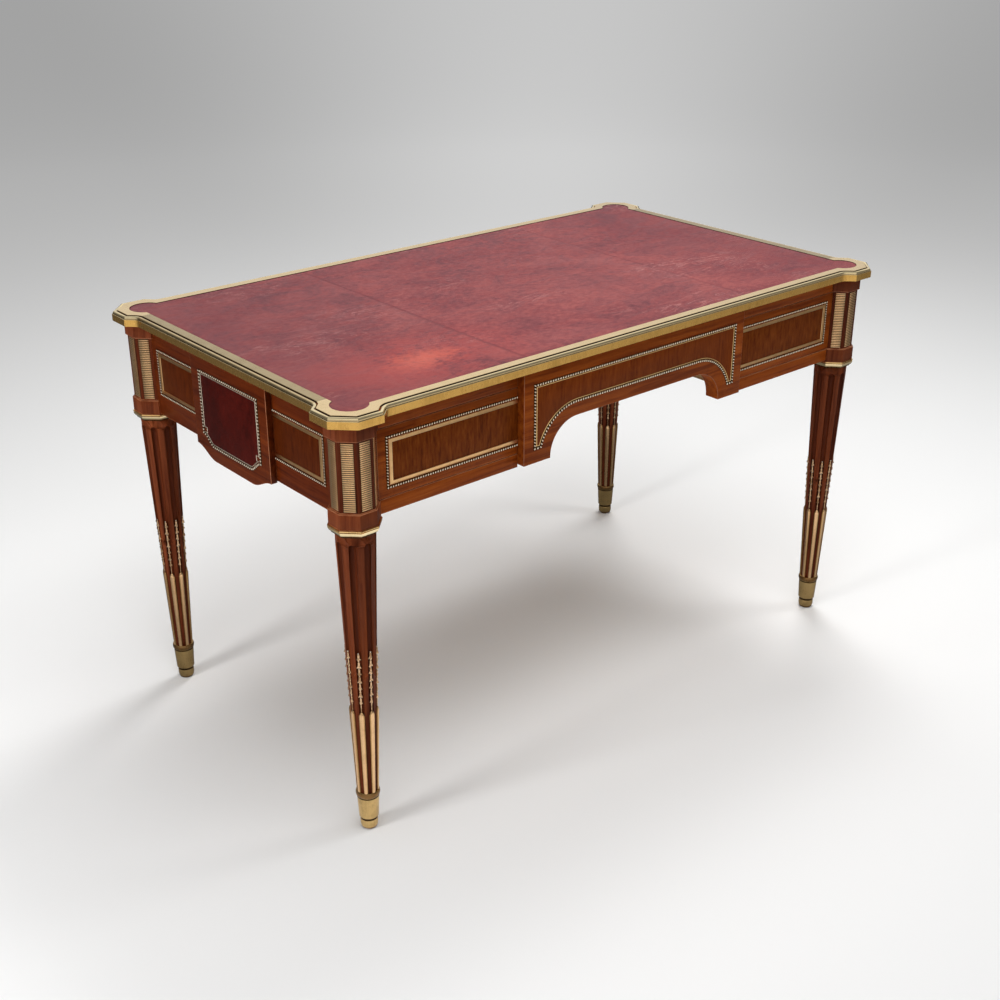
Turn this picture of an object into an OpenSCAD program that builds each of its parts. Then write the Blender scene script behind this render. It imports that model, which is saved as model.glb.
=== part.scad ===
// Neoclassical writing desk: leather top in a brass edge, three frieze drawers, four fluted legs.
// Millimetres. X runs along the length, the front faces -Y, and the floor is Z = 0 under the centre.

/* [Overall] */
// Height of the brass rim above the floor
desk_h = 770; // [720:5:800]
// Spacing of the leg centres along the length
leg_pitch_x = 1179; // [1100:1:1300]
// Spacing of the leg centres across the depth
leg_pitch_y = 631; // [600:1:700]

/* [Top] */
// Height of the brass edge from its lower arris to the rim
edge_h = 19; // [17:0.5:24]
// Distance of the straight edges outside the leg centres
edge_out = 39; // [36:0.5:42]
// Half the width across flats of the eight-sided corner lobes
lobe_r = 56; // [53:0.5:60]
// Thickness of the upright brass band
fascia_t = 3; // [2:0.5:4]
// Width of the flat brass border, from the outer edge to the leather
border_w = 26; // [22:0.5:28]
// Thickness of the flat brass border
border_t = 3; // [2.5:0.25:4]
// Width of the round moulding that runs along the rim
rim_bead_w = 5.2; // [4:0.2:6]
// Width and depth of the quirks on both sides of that moulding
quirk = 1.2; // [0.8:0.1:1.6]
// Depth of the leather surface below the rim
leather_drop = 0.6; // [0.3:0.1:1]

/* [Frieze] */
// Height of the frieze boards below the top
frieze_h = 169; // [155:1:185]
// Thickness of the frieze boards and of the side drawer fronts
frieze_t = 22; // [18:1:26]
// Height of the rail above the side drawers
top_rail_h = 27; // [22:1:32]
// Height of the rails below the side drawers
bottom_rail_h = 24; // [20:1:30]
// Depth of the rail above the drawers, front to back
top_rail_d = 60; // [50:1:75]
// Depth of the rails below the drawers, front to back
bottom_rail_d = 50; // [40:1:60]
// Thickness of the two boards between the drawers
divider_t = 18; // [15:1:22]
// Height of the dividers' lower edge above the frieze's lower edge
divider_lift = 12; // [6:1:16]

/* [Centre block] */
// Width of the proud centre block
block_w = 539; // [500:1:580]
// Distance the centre blocks stand proud of the frieze
block_out = 15; // [10:1:20]
// Thickness of the front block
block_t = 30; // [24:1:36]
// Height of the block's feet above the frieze's lower edge
block_lift = 5; // [2:1:8]
// Rise of the kneehole's soffit above the frieze's lower edge
arch_rise = 67; // [60:1:80]
// Radius of the kneehole's corners
arch_r = 60; // [45:1:65]
// Width of each foot beside the kneehole
foot_w = 59.5; // [52:0.5:70]

/* [End tablets] */
// Width of the tablets on both ends
tablet_w = 238; // [210:1:260]
// Distance the tablets stand proud of the end boards
tablet_out = 12; // [8:1:16]
// Drop of the tablets below the frieze's lower edge
tablet_drop = 22; // [16:1:28]
// Width of the flat lower edge of a tablet
tablet_flat_w = 118; // [90:1:130]
// Height of the curved stretch of a tablet's lower edge
tablet_ogee_h = 19; // [14:1:24]

/* [Posts] */
// Half the width across flats of the eight-sided posts
post_r = 35; // [33:0.5:39]
// Distance the capital and the collar stand out from the post
block_step = 3.5; // [2:0.5:4.5]
// Height of the collar block below the posts
collar_h = 27; // [22:1:32]
// Height of the brass ring under the collar
ring_h = 14; // [11:0.5:17]
// Distance the brass ring stands out from the collar
ring_step = 2; // [1.5:0.1:3.5]
// Width of the reeded brass panels
panel_w = 19.5; // [17:0.5:23]
// Distance the panels stand out from the posts
panel_out = 1.2; // [0.8:0.1:1.8]
// Depth the panels are let into the posts
panel_in = 1.2; // [1:0.1:2]
// Spacing of the reeds
reed_pitch = 3.15; // [2.6:0.05:4]
// Plain margin of the post above and below a panel
panel_margin = 2.5; // [1.5:0.5:5]

/* [Legs] */
// Radius of the turned leg at its top
leg_r_top = 32.5; // [29:0.5:34]
// Radius of the turned leg where it enters the foot cup
leg_r_foot = 16.8; // [15:0.2:18]
// Radius of the neck that passes through the brass ring
neck_r = 27; // [24:0.5:30]
// Number of flutes
flutes = 8; // [6:1:10]
// Radius of a flute at its top
flute_r_top = 6.2; // [5:0.1:7]
// Radius of a flute at the foot cup
flute_r_foot = 2.9; // [2.4:0.1:3.4]
// Plain length of the leg above the flutes
flute_drop = 12; // [8:1:18]
// Length of the brass rods in the lower flutes
rod_len = 165; // [120:1:200]
// Distance the rods stand proud of the leg
rod_out = 1; // [0.6:0.1:1.4]
// Gap between a rod and the husk chain above it
husk_gap = 16; // [10:1:24]
// Length of a chain of husks
husk_len = 98; // [80:1:130]
// Number of husks in a chain
husks = 7; // [5:1:9]

/* [Foot cups] */
// Height of the brass foot cups
cup_h = 78; // [72:1:86]
// Height of the ring around a cup's mouth
lip_h = 13; // [11:1:17]
// Height of the toe under a cup
toe_h = 24; // [20:1:28]
// Radius of the toe
toe_r = 15.8; // [15:0.1:16.6]
// Radius of the cup's body just under its ring
cup_r_top = 19.2; // [18.4:0.1:20]
// Radius of the cup's body above the toe
cup_r_low = 17; // [16.2:0.1:18]
// Radius of the leg's tenon in the cup
tenon_r = 9.5; // [8:0.5:10.5]

/* [Drawers] */
// Gap around a drawer front
front_gap = 1; // [0.6:0.1:1.5]
// Gap between the centre block and what stands beside it
block_gap = 0.5; // [0.3:0.1:1]
// Play of a drawer box on each side
box_play = 1.2; // [0.8:0.1:2]
// Gap between a drawer and its runner, and behind a closed front
seat_gap = 0.3; // [0.2:0.05:0.4]
// Gap between a drawer box and the kickers above it
kicker_gap = 2.5; // [1.5:0.1:4]
// Thickness of the drawer sides and backs
side_t = 12; // [10:0.5:14]
// Thickness of the drawer bottoms
bottom_t = 7; // [5:0.5:9]
// Height of a drawer bottom above the side's lower edge
bottom_up = 8; // [6:0.5:12]
// Depth of the grooves that hold a drawer bottom
groove_d = 5; // [3:0.5:6]
// Length of the side drawer boxes behind their fronts
side_box_d = 520; // [480:5:580]
// Length of the centre drawer box behind its front
centre_box_d = 440; // [400:5:560]
// Height of the centre runners' top above the kneehole's soffit
centre_floor = 5; // [4:0.5:9]
// Width of the runners and kickers
runner_w = 22; // [18:1:26]
// Height of the runners
runner_h = 18; // [14:1:20]
// Height of the guides beside the side drawers
guide_h = 50; // [35:1:70]

/* [Mouldings] */
// Margin of the beaded mouldings above and below on drawers and panels
bead_margin = 15; // [12:0.5:20]
// Margin of the mouldings beside a post
bead_margin_post = 17; // [10:0.5:20]
// Width of a beaded moulding
bead_w = 3.4; // [2.6:0.1:4]
// Height of a beaded moulding
bead_up = 1.8; // [1.2:0.1:2.4]
// Width of the flat brass frames
flat_w = 6.5; // [5:0.5:9]
// Thickness of the flat brass frames
flat_up = 1.5; // [1:0.1:2]
// Distance from the outside of the beading to the outside of the flat frame
flat_in = 6; // [5:0.5:8]
// Width of the thin brass line inside the shaped mouldings
line_w = 1.2; // [1:0.1:2]
// Distance from the outside of the beading to the outside of that line
line_in = 5; // [4.5:0.1:6]
// Side margin of the beading on the centre blocks
block_bead_side = 21; // [16:0.5:22]
// Margin of that beading along the kneehole and the feet
block_bead_edge = 24; // [20:0.5:26]
// Margin of that beading above
block_bead_top = 24; // [20:0.5:28]
// Side margin of the beading on the tablets
tablet_bead_side = 25; // [20:0.5:32]
// Margin of that beading above
tablet_bead_top = 30; // [24:0.5:36]
// Margin of that beading below
tablet_bead_low = 25; // [20:0.5:30]
// Thickness of the leather let into the tablets' frames
tablet_leather_t = 1; // [0.6:0.1:1.5]

/* [Hidden] */
// Small clearance of a tight fit
fit = 0.06;
// Overlap that makes a cut run through a face
cut = 1;
// Depth of the round end's centre below the end of a flute's taper
flute_end_dip = 1;
// Shoulder that the round end leaves around itself
flute_shoulder = 0.3;
// Clearance of the brass laid into a flute
flute_play = 0.15;
// Thickness of the brass under the quirk inside the rim's moulding
web_t = 0.8;
// Size of the glue blocks under the top
glue_l = 60;
glue_w = 18;
// Facets of round cuts and turned pieces
$fn = 64;
// Angle from the middle of an octagon's side to its corner
half_turn = 22.5;
// Steps in an ogee curve
ogee_n = 12;

leg_x = leg_pitch_x / 2;
leg_y = leg_pitch_y / 2;
block_r = post_r + block_step;
frieze_out = post_r * tan(half_turn);
front_face = leg_y + frieze_out;
end_face = leg_x + frieze_out;
post_in_x = leg_x - post_r;
post_in_y = leg_y - post_r;
block_in_x = leg_x - block_r;
block_in_y = leg_y - block_r;

z_under = desk_h - edge_h;
z_board = desk_h - border_t;
z_frieze = z_under - frieze_h;
z_open_top = z_under - top_rail_h;
z_open_low = z_frieze + bottom_rail_h;
z_collar = z_open_low - collar_h;
z_ring = z_collar - ring_h;
z_block_low = z_frieze + block_lift;
z_arch = z_frieze + arch_rise;
z_arch_spring = z_arch - arch_r;
z_centre_run = z_arch + centre_floor;
z_rod_top = cup_h + rod_len;
z_husk_low = z_rod_top + husk_gap;

leather_in_x = leg_x + edge_out - border_w;
leather_in_y = leg_y + edge_out - border_w;
ear_r = lobe_r - border_w;
arch_half = block_w / 2 - foot_w;
divider_x = block_w / 2 + block_gap;
block_back = front_face + block_out - block_t;
rail_front_mid = block_back - seat_gap;
rail_back = front_face - top_rail_d;
back_inner = front_face - frieze_t;
end_inner = end_face - frieze_t;
back_seat = back_inner - fit;
end_seat = end_inner - fit;
tablet_side_z = z_frieze - tablet_drop + tablet_ogee_h;

box_top = z_open_top - kicker_gap;
side_box_x0 = divider_x + box_play;
side_box_x1 = post_in_x - box_play;
side_box_y0 = frieze_t - front_face;
side_box_z0 = z_open_low + seat_gap;
centre_box_x = divider_x - divider_t - box_play;
centre_box_y0 = -block_back;
centre_box_z0 = z_centre_run + seat_gap;

// Slope, radius and angle of the turned leg
z_leg = z_ring;
leg_slope = (leg_r_top - leg_r_foot) / (z_leg - cup_h);
leg_tilt = atan(leg_slope);
flute_top_t = (z_leg - flute_drop - flute_r_top - cup_h) / cos(leg_tilt);
function leg_r_at(z) = leg_r_foot + leg_slope * (z - cup_h);
function flute_r_at(t) = flute_r_foot + (flute_r_top - flute_r_foot) * t / flute_top_t;
function along(z) = (z - cup_h) / cos(leg_tilt);

MAHOGANY = "#6b2e16";
BRASS = "#b08d4b";
LEATHER = "#8a4048";
OAK = "#b58a58";

// Placing helpers

// Extrudes a drawing of X and Z into a board from y0 to y0 + t
module board(y0, t) {
    translate([0, y0 + t, 0]) rotate([90, 0, 0]) linear_extrude(t) children();
}

// A box from its lowest corner to its highest
module box(a, b) {
    translate(a) cube(b - a);
}

// Mirrors what is drawn on the right to the left
module on_side(s) {
    if (s < 0) mirror([1, 0, 0]) children();
    else children();
}

// Turns what is drawn on the front to the back or an end
module facing(turn) {
    rotate([0, 0, turn]) children();
}

// Stands its children at a leg's centre, turned so that the outer corner lies at -X -Y
module at_leg(sx, sy) {
    translate([sx * leg_x, sy * leg_y, 0]) scale_sign(sx, sy) children();
}

module scale_sign(sx, sy) {
    mirror([sx > 0 ? 1 : 0, 0, 0]) mirror([0, sy > 0 ? 1 : 0, 0]) children();
}

// An eight-sided prism, flat side to the front, measured across its flats
module prism8(r, h) {
    rotate([0, 0, half_turn]) cylinder(r = r / cos(half_turn), h = h, $fn = 8);
}

// Top

// One corner of the rim's outline, seen from the leg's centre, moved in by d
function corner_points(d) =
    let (r = lobe_r - d, e = edge_out - d, h = r * tan(half_turn), k = e - r * sqrt(2))
    [[k, e], [-h, r], [h, r], [r, h], [r, -h], [e, k]];

// The whole outline of the rim, moved in by d
module rim_2d(d) {
    p = corner_points(d);
    n = len(p) - 1;
    polygon(concat(
        [for (i = [0 : n]) [leg_x + p[i].x, leg_y + p[i].y]],
        [for (i = [0 : n]) [leg_x + p[n - i].x, -leg_y - p[n - i].y]],
        [for (i = [0 : n]) [-leg_x - p[i].x, -leg_y - p[i].y]],
        [for (i = [0 : n]) [-leg_x - p[n - i].x, leg_y + p[n - i].y]]
    ));
}

// Outline of the leather: a rectangle with a round ear at each corner
module leather_2d() {
    square([2 * leather_in_x, 2 * leather_in_y], center = true);
    for (sx = [-1, 1])
        for (sy = [-1, 1])
            translate([sx * leg_x, sy * leg_y]) circle(ear_r);
}

module top_panel() {
    color(MAHOGANY) translate([0, 0, z_under]) linear_extrude(z_board - z_under) rim_2d(fascia_t);
}

module leather_top() {
    color(LEATHER) translate([0, 0, z_board]) linear_extrude(border_t - leather_drop) leather_2d();
}

// Section of the brass edge: X is the distance in from the outer face, Y is the height
rim_bead_r = rim_bead_w / 2;
bead_mid = quirk + rim_bead_r;
z_bead = desk_h - quirk / 4 - rim_bead_r;
band_in = 2 * quirk + rim_bead_w;
module edge_section_2d() {
    translate([0, z_under]) square([fascia_t, z_bead - quirk - z_under]);
    translate([quirk, z_bead - 2 * quirk]) square([rim_bead_w + quirk, z_board - z_bead + 3 * quirk]);
    translate([bead_mid, z_bead]) circle(rim_bead_r);
    translate([quirk, z_board]) square([border_w - quirk, web_t]);
    translate([band_in, z_board]) square([border_w - band_in, border_t]);
}

// The part of the section that stays outside the wooden board
module clean_section_2d() {
    difference() {
        edge_section_2d();
        translate([fascia_t, z_under - cut]) square([border_w, z_board - z_under + cut]);
    }
}

// A straight length of the edge along X, with its outer face at -face
module edge_rail(half_len, face) {
    translate([-half_len, -face, 0]) rotate([90, 0, 90])
        linear_extrude(2 * half_len) clean_section_2d();
}

corner_reach = lobe_r * sqrt(2) - edge_out;

module brass_edge_front() {
    color(BRASS) edge_rail(leg_x - corner_reach, leg_y + edge_out);
}

module brass_edge_back() {
    color(BRASS) facing(180) edge_rail(leg_x - corner_reach, leg_y + edge_out);
}

module brass_edge_left() {
    color(BRASS) facing(-90) edge_rail(leg_y - corner_reach, leg_x + edge_out);
}

module brass_edge_right() {
    color(BRASS) facing(90) edge_rail(leg_y - corner_reach, leg_x + edge_out);
}

// A level of the corner piece between two insets and two heights
module corner_level(d0, z0, z1) {
    translate([0, 0, z0]) linear_extrude(z1 - z0) difference() {
        rim_2d(d0);
        children();
    }
}

module brass_corner(sx, sy) {
    far = 2 * lobe_r;
    crown = rim_bead_r - quirk / 2;
    color(BRASS) intersection() {
        union() {
            corner_level(0, z_under, z_bead - quirk) rim_2d(fascia_t);
            corner_level(quirk, z_bead - 2 * quirk, z_board) rim_2d(fascia_t);
            corner_level(quirk, z_board, z_board + web_t) leather_2d();
            corner_level(quirk, z_board, z_bead + quirk) rim_2d(quirk + rim_bead_w);
            corner_level(bead_mid - crown, z_bead + quirk, z_bead + rim_bead_r) rim_2d(bead_mid + crown);
            corner_level(band_in, z_board, desk_h) leather_2d();
        }
        translate([sx * leg_x, sy * leg_y, 0]) scale_sign(sx, sy)
            box([-far, -far, z_under - cut], [corner_reach, corner_reach, desk_h + cut]);
    }
}

module brass_corner_front_left() { brass_corner(-1, -1); }
module brass_corner_front_right() { brass_corner(1, -1); }
module brass_corner_back_left() { brass_corner(-1, 1); }
module brass_corner_back_right() { brass_corner(1, 1); }

// Legs

// Places its children on flute number i, with Z up along the flute and -X into the wood
module at_flute(i) {
    rotate([0, 0, i * 360 / flutes]) translate([leg_r_foot, 0, cup_h])
        rotate([0, leg_tilt, 0]) children();
}

// A tapered rod along the flutes between two heights, thinner than the flute by gap
module flute_taper(z0, z1, gap) {
    t0 = along(z0);
    t1 = along(z1);
    translate([0, 0, t0]) cylinder(r1 = flute_r_at(t0) - gap, r2 = flute_r_at(t1) - gap, h = t1 - t0);
}

// Directions of the five post sides that show, seen from the leg's centre
panel_turns = [135, 180, 225, 270, 315];
panel_h = z_open_top - z_open_low - 2 * panel_margin;

module leg() {
    color(MAHOGANY) difference() {
        union() {
            translate([0, 0, z_open_low]) prism8(post_r, z_under - z_open_low);
            translate([0, 0, z_open_top]) prism8(block_r, z_under - z_open_top);
            translate([0, 0, z_collar]) prism8(block_r, collar_h);
            translate([0, 0, z_ring]) prism8(neck_r, ring_h);
            translate([0, 0, cup_h])
                cylinder(r1 = leg_r_foot, r2 = leg_r_top, h = z_leg - cup_h);
            translate([0, 0, toe_h]) cylinder(r = tenon_r, h = cup_h - toe_h);
        }
        for (i = [0 : flutes - 1]) at_flute(i) {
            translate([0, 0, -cut])
                cylinder(r1 = flute_r_at(-cut), r2 = flute_r_top, h = flute_top_t + cut);
            translate([0, 0, flute_top_t - flute_end_dip]) sphere(flute_r_top - flute_shoulder);
        }
        for (a = panel_turns)
            rotate([0, 0, a])
                box([post_r - panel_in, -panel_w / 2 - fit, z_open_low + panel_margin - fit],
                    [block_r + cut, panel_w / 2 + fit, z_open_top - panel_margin + fit]);
    }
}

module leg_front_left() { at_leg(-1, -1) leg(); }
module leg_front_right() { at_leg(1, -1) leg(); }
module leg_back_left() { at_leg(-1, 1) leg(); }
module leg_back_right() { at_leg(1, 1) leg(); }

// Calls its children once at each leg
module each_leg() {
    for (sx = [-1, 1])
        for (sy = [-1, 1])
            at_leg(sx, sy) children();
}

module collar_rings() {
    low_r = leg_r_top + 2;
    color(BRASS) each_leg() translate([0, 0, z_ring])
        rotate([0, 0, half_turn]) scale([1 / cos(half_turn), 1 / cos(half_turn), 1])
            rotate_extrude($fn = 8) polygon([
                [neck_r + fit, 0], [low_r, 0],
                [block_r, 0.12 * ring_h], [block_r + 0.8 * ring_step, 0.35 * ring_h],
                [block_r + ring_step, 0.6 * ring_h], [block_r + 0.6 * ring_step, 0.85 * ring_h],
                [block_r - 0.5, ring_h], [neck_r + fit, ring_h]
            ]);
}

reeds = floor(panel_h / reed_pitch);
module reeded_panel() {
    pitch = panel_h / reeds;
    z0 = z_open_low + panel_margin;
    back = post_r - panel_in + fit;
    low = post_r + panel_out / 3;
    high = post_r + panel_out;
    translate([0, panel_w / 2, 0]) rotate([90, 0, 0]) linear_extrude(panel_w) polygon(concat(
        [[back, z0 + panel_h], [back, z0]],
        [for (i = [0 : reeds - 1], p = [[low, 0], [high, 0.3], [high, 0.7]])
            [p[0], z0 + (i + p[1]) * pitch]],
        [[low, z0 + panel_h]]
    ));
}

module reeded_panels() {
    color(BRASS) each_leg()
        for (a = panel_turns)
            rotate([0, 0, a]) reeded_panel();
}

// Rods fill the lower flutes and swell a little beyond the leg
module flute_rods() {
    color(BRASS) each_leg() intersection() {
        union()
            for (i = [0 : flutes - 1]) at_flute(i) flute_taper(cup_h, z_rod_top, flute_play);
        translate([0, 0, cup_h])
            cylinder(r1 = leg_r_foot + rod_out, r2 = leg_r_at(z_rod_top) + rod_out, h = rod_len);
    }
}

// A chain of bell-shaped husks that gets smaller as it goes down, on a thin stem
husk_fill = 0.85;
module husk_chain() {
    t0 = along(z_husk_low);
    step = husk_len / husks;
    stem_r = 0.9;
    least = 0.72;
    mouth = 0.4;
    floor_in = flute_r_at(t0) * (1 - husk_fill) - flute_play;
    translate([-floor_in, 0, 0]) {
        for (i = [0 : husks - 1]) {
            r = husk_fill * flute_r_at(t0) * (least + (1 - least) * i / husks);
            translate([0, 0, t0 + i * step]) cylinder(r1 = r, r2 = mouth * r, h = step);
        }
        translate([0, 0, t0 - husk_gap + fit]) cylinder(r = stem_r, h = husk_gap + step / 2);
    }
}

module husk_chains() {
    color(BRASS) each_leg()
        for (i = [0 : flutes - 1]) at_flute(i) husk_chain();
}

// A turned brass cup with a rounded toe, a body and a ringed mouth
module foot_cup() {
    round_r = 4;
    rim_r = 2.4;
    hem_r = 1.8;
    flare = 1.4;
    wall = 1;
    slim = 0.7;
    groove_h = 3;
    z_lip = cup_h - lip_h;
    neck = toe_r - slim;
    lip_r = cup_r_top + flare;
    color(BRASS) rotate_extrude() difference() {
        union() {
            square([toe_r - round_r, toe_h - groove_h]);
            translate([toe_r - round_r, round_r]) circle(round_r);
            translate([0, round_r]) square([toe_r, toe_h - groove_h - round_r]);
            translate([0, toe_h - groove_h]) square([neck, groove_h]);
            polygon([[0, toe_h], [cup_r_low, toe_h], [cup_r_top, z_lip], [0, z_lip]]);
            translate([0, z_lip]) square([cup_r_top - wall, lip_h]);
            translate([lip_r - rim_r, cup_h - rim_r]) circle(rim_r);
            translate([cup_r_top - hem_r, z_lip + hem_r]) circle(hem_r);
        }
        translate([-tenon_r, toe_h]) square([2 * tenon_r + fit, cup_h]);
        translate([-2 * toe_r, -cut]) square([2 * toe_r, cup_h + 2 * cut]);
    }
}

module foot_cup_front_left() { at_leg(-1, -1) foot_cup(); }
module foot_cup_front_right() { at_leg(1, -1) foot_cup(); }
module foot_cup_back_left() { at_leg(-1, 1) foot_cup(); }
module foot_cup_back_right() { at_leg(1, 1) foot_cup(); }

// Frieze

// A frieze board's outline between two posts whose inner sides are half apart
module frieze_2d(half) {
    difference() {
        translate([-half, z_frieze]) square([2 * half, frieze_h]);
        for (s = [-1, 1]) on_side_2d(s) {
            translate([half - block_step, z_open_top]) square([block_step + cut, top_rail_h + cut]);
            translate([half - block_step, z_frieze - cut])
                square([block_step + cut, bottom_rail_h + cut]);
        }
    }
}

module on_side_2d(s) {
    if (s < 0) mirror([1, 0]) children();
    else children();
}

// The kneehole's outline, grown by g on its sides and soffit
module kneehole_2d(g) {
    low = z_frieze - 2 * cut - tablet_drop;
    spring_x = arch_half - arch_r;
    translate([-spring_x, low]) square([2 * spring_x, z_arch + g - low]);
    translate([-arch_half - g, low]) square([2 * (arch_half + g), z_arch_spring - low]);
    for (s = [-1, 1])
        translate([s * spring_x, z_arch_spring]) circle(arch_r + g);
}

// The centre block's outline up to z_hi
module block_2d(z_hi) {
    difference() {
        translate([-block_w / 2, z_block_low]) square([block_w, z_hi - z_block_low]);
        kneehole_2d(0);
    }
}

// The beading's outline on the centre block, moved in by d
module block_bead_2d(d) {
    hw = block_w / 2 - block_bead_side - d;
    z_lo = z_block_low + block_bead_edge + d;
    z_hi = z_under - block_bead_top - d;
    difference() {
        translate([-hw, z_lo]) square([2 * hw, z_hi - z_lo]);
        kneehole_2d(block_bead_edge + d);
    }
}

module block_beading() {
    board(-bead_up, bead_up) difference() {
        block_bead_2d(0);
        block_bead_2d(bead_w);
    }
    board(-flat_up, flat_up) difference() {
        block_bead_2d(line_in);
        block_bead_2d(line_in + line_w);
    }
}

module back_frieze() {
    color(MAHOGANY) facing(180) board(-front_face, frieze_t) difference() {
        frieze_2d(post_in_x);
        kneehole_2d(0);
        translate([-block_w / 2, z_frieze - cut]) square([block_w, z_block_low - z_frieze + cut]);
    }
}

module back_centre_block() {
    color(MAHOGANY) facing(180) board(-front_face - block_out, block_out) block_2d(z_under);
}

module end_frieze_left() {
    color(MAHOGANY) facing(-90) board(-end_face, frieze_t) frieze_2d(post_in_y);
}

module end_frieze_right() {
    color(MAHOGANY) facing(90) board(-end_face, frieze_t) frieze_2d(post_in_y);
}

// An S-shaped line from one point to another, level at both ends
function ogee(x0, z0, x1, z1) =
    [for (i = [0 : ogee_n])
        [x0 + (x1 - x0) * i / ogee_n, z0 + (z1 - z0) * (1 - cos(180 * i / ogee_n)) / 2]];

// A tablet's outline: upright sides, then an S-curve on each side into a flat lower edge
module tablet_2d(hw, z_hi, z_side, flat_half, z_low) {
    right = ogee(hw, z_side, flat_half, z_low);
    left = [for (i = [ogee_n : -1 : 0]) [-right[i].x, right[i].y]];
    polygon(concat([[hw, z_hi]], right, left, [[-hw, z_hi]]));
}

// The beading's outline on a tablet, moved in by d
module tablet_bead_2d(d) {
    low = z_frieze - tablet_drop;
    tablet_2d(tablet_w / 2 - tablet_bead_side - d, z_under - tablet_bead_top - d,
        low + tablet_ogee_h + tablet_bead_low + d / 3,
        tablet_flat_w / 2 - d / 3, low + tablet_bead_low + d);
}

module end_tablet(turn) {
    color(MAHOGANY) facing(turn) board(-end_face - tablet_out, tablet_out)
        tablet_2d(tablet_w / 2, z_under, tablet_side_z, tablet_flat_w / 2, z_frieze - tablet_drop);
}

module end_tablet_left() { end_tablet(-90); }
module end_tablet_right() { end_tablet(90); }

module tablet_leathers() {
    color(LEATHER)
        for (turn = [-90, 90])
            facing(turn) board(-end_face - tablet_out - tablet_leather_t, tablet_leather_t)
                tablet_bead_2d(line_in + line_w + fit);
}

module front_top_rail() {
    color(MAHOGANY) difference() {
        box([-block_in_x, -front_face, z_open_top], [block_in_x, -rail_back, z_under]);
        box([-divider_x, -front_face - cut, z_open_top - cut],
            [divider_x, -rail_front_mid, z_under + cut]);
    }
}

module bottom_rail(s) {
    color(MAHOGANY) on_side(s)
        box([divider_x, -front_face, z_frieze], [block_in_x, bottom_rail_d - front_face, z_open_low]);
}

module bottom_rail_left() { bottom_rail(-1); }
module bottom_rail_right() { bottom_rail(1); }

module divider(s) {
    color(OAK) on_side(s) difference() {
        box([divider_x - divider_t, -rail_front_mid, z_frieze + divider_lift],
            [divider_x, back_seat, z_under]);
        box([divider_x - divider_t - cut, -rail_front_mid - cut, z_open_top],
            [divider_x + cut, -rail_back, z_under + cut]);
    }
}

module divider_left() { divider(-1); }
module divider_right() { divider(1); }

// Runners carry the drawers, and guides keep the side drawers straight
module drawer_runners() {
    y_front = bottom_rail_d - front_face;
    color(OAK) for (s = [-1, 1]) on_side(s) {
        union() {
            box([block_in_x - runner_w, y_front, z_open_low - runner_h],
                [block_in_x, back_seat, z_open_low]);
            box([block_in_x - cut, -block_in_y, z_open_low - runner_h],
                [end_seat, block_in_y, z_open_low]);
            box([side_box_x1 + seat_gap, -block_in_y, z_open_low - runner_h],
                [end_seat, block_in_y, z_open_low - runner_h + guide_h]);
        }
        box([divider_x, y_front, z_open_low - runner_h], [divider_x + runner_w, back_seat, z_open_low]);
        box([divider_x - divider_t - runner_w, -rail_front_mid, z_centre_run - runner_h],
            [divider_x - divider_t, back_seat, z_centre_run]);
    }
}

// Kickers keep an open drawer from tipping down
module drawer_kickers() {
    color(OAK) for (s = [-1, 1]) on_side(s)
        for (x0 = [block_in_x - runner_w, divider_x, divider_x - divider_t - runner_w])
            box([x0, -rail_back, z_open_top], [x0 + runner_w, back_seat, z_under]);
}

// Blocks glued into the angle between the frieze and the top
module glue_blocks() {
    z0 = z_under - glue_w;
    color(OAK) for (s = [-1, 1]) on_side(s) {
        for (x = [leg_x / 6, (divider_x + post_in_x) / 2])
            box([x - glue_l / 2, back_inner - glue_w, z0], [x + glue_l / 2, back_inner, z_under]);
        for (y = [-post_in_y / 2, post_in_y / 2])
            box([end_inner - glue_w, y - glue_l / 2, z0], [end_inner, y + glue_l / 2, z_under]);
    }
}

// Mouldings

// A rectangle between two heights of the drawer openings, moved in by d on all sides but that at x0
module frame_2d(x0, x1, d) {
    z0 = z_open_low + bead_margin + d;
    translate([x0, z0]) square([x1 - d - x0, z_open_top - bead_margin - d - z0]);
}

// A beading that runs from a block at x0 round to its upright beside the post at x1, and back
module bead_ring(x0, x1) {
    board(-bead_up, bead_up) difference() {
        frame_2d(x0, x1 - bead_margin_post, 0);
        frame_2d(x0 - cut, x1 - bead_margin_post, bead_w);
    }
}

// The flat brass frame inside that beading
module flat_ring(x0, x1) {
    board(-flat_up, flat_up) difference() {
        frame_2d(x0, x1 - bead_margin_post, flat_in);
        frame_2d(x0 - cut, x1 - bead_margin_post, flat_in + flat_w);
    }
}

module back_beading() {
    color(BRASS) facing(180) {
        translate([0, -front_face, 0])
            for (s = [-1, 1]) on_side(s) bead_ring(block_w / 2, post_in_x);
        translate([0, -front_face - block_out, 0]) block_beading();
    }
}

module back_flat_frames() {
    color(BRASS) facing(180) translate([0, -front_face, 0])
        for (s = [-1, 1]) on_side(s) flat_ring(block_w / 2, post_in_x);
}

module end_beading(turn) {
    color(BRASS) facing(turn) {
        translate([0, -end_face, 0])
            for (s = [-1, 1]) on_side(s) bead_ring(tablet_w / 2, post_in_y);
        translate([0, -end_face - tablet_out, 0]) {
            board(-bead_up, bead_up) difference() {
                tablet_bead_2d(0);
                tablet_bead_2d(bead_w);
            }
            board(-flat_up, flat_up) difference() {
                tablet_bead_2d(line_in);
                tablet_bead_2d(line_in + line_w);
            }
        }
    }
}

module end_flat_frames(turn) {
    color(BRASS) facing(turn) translate([0, -end_face, 0])
        for (s = [-1, 1]) on_side(s) flat_ring(tablet_w / 2, post_in_y);
}

module end_beading_left() { end_beading(-90); }
module end_beading_right() { end_beading(90); }
module end_flat_frames_left() { end_flat_frames(-90); }
module end_flat_frames_right() { end_flat_frames(90); }

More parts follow.
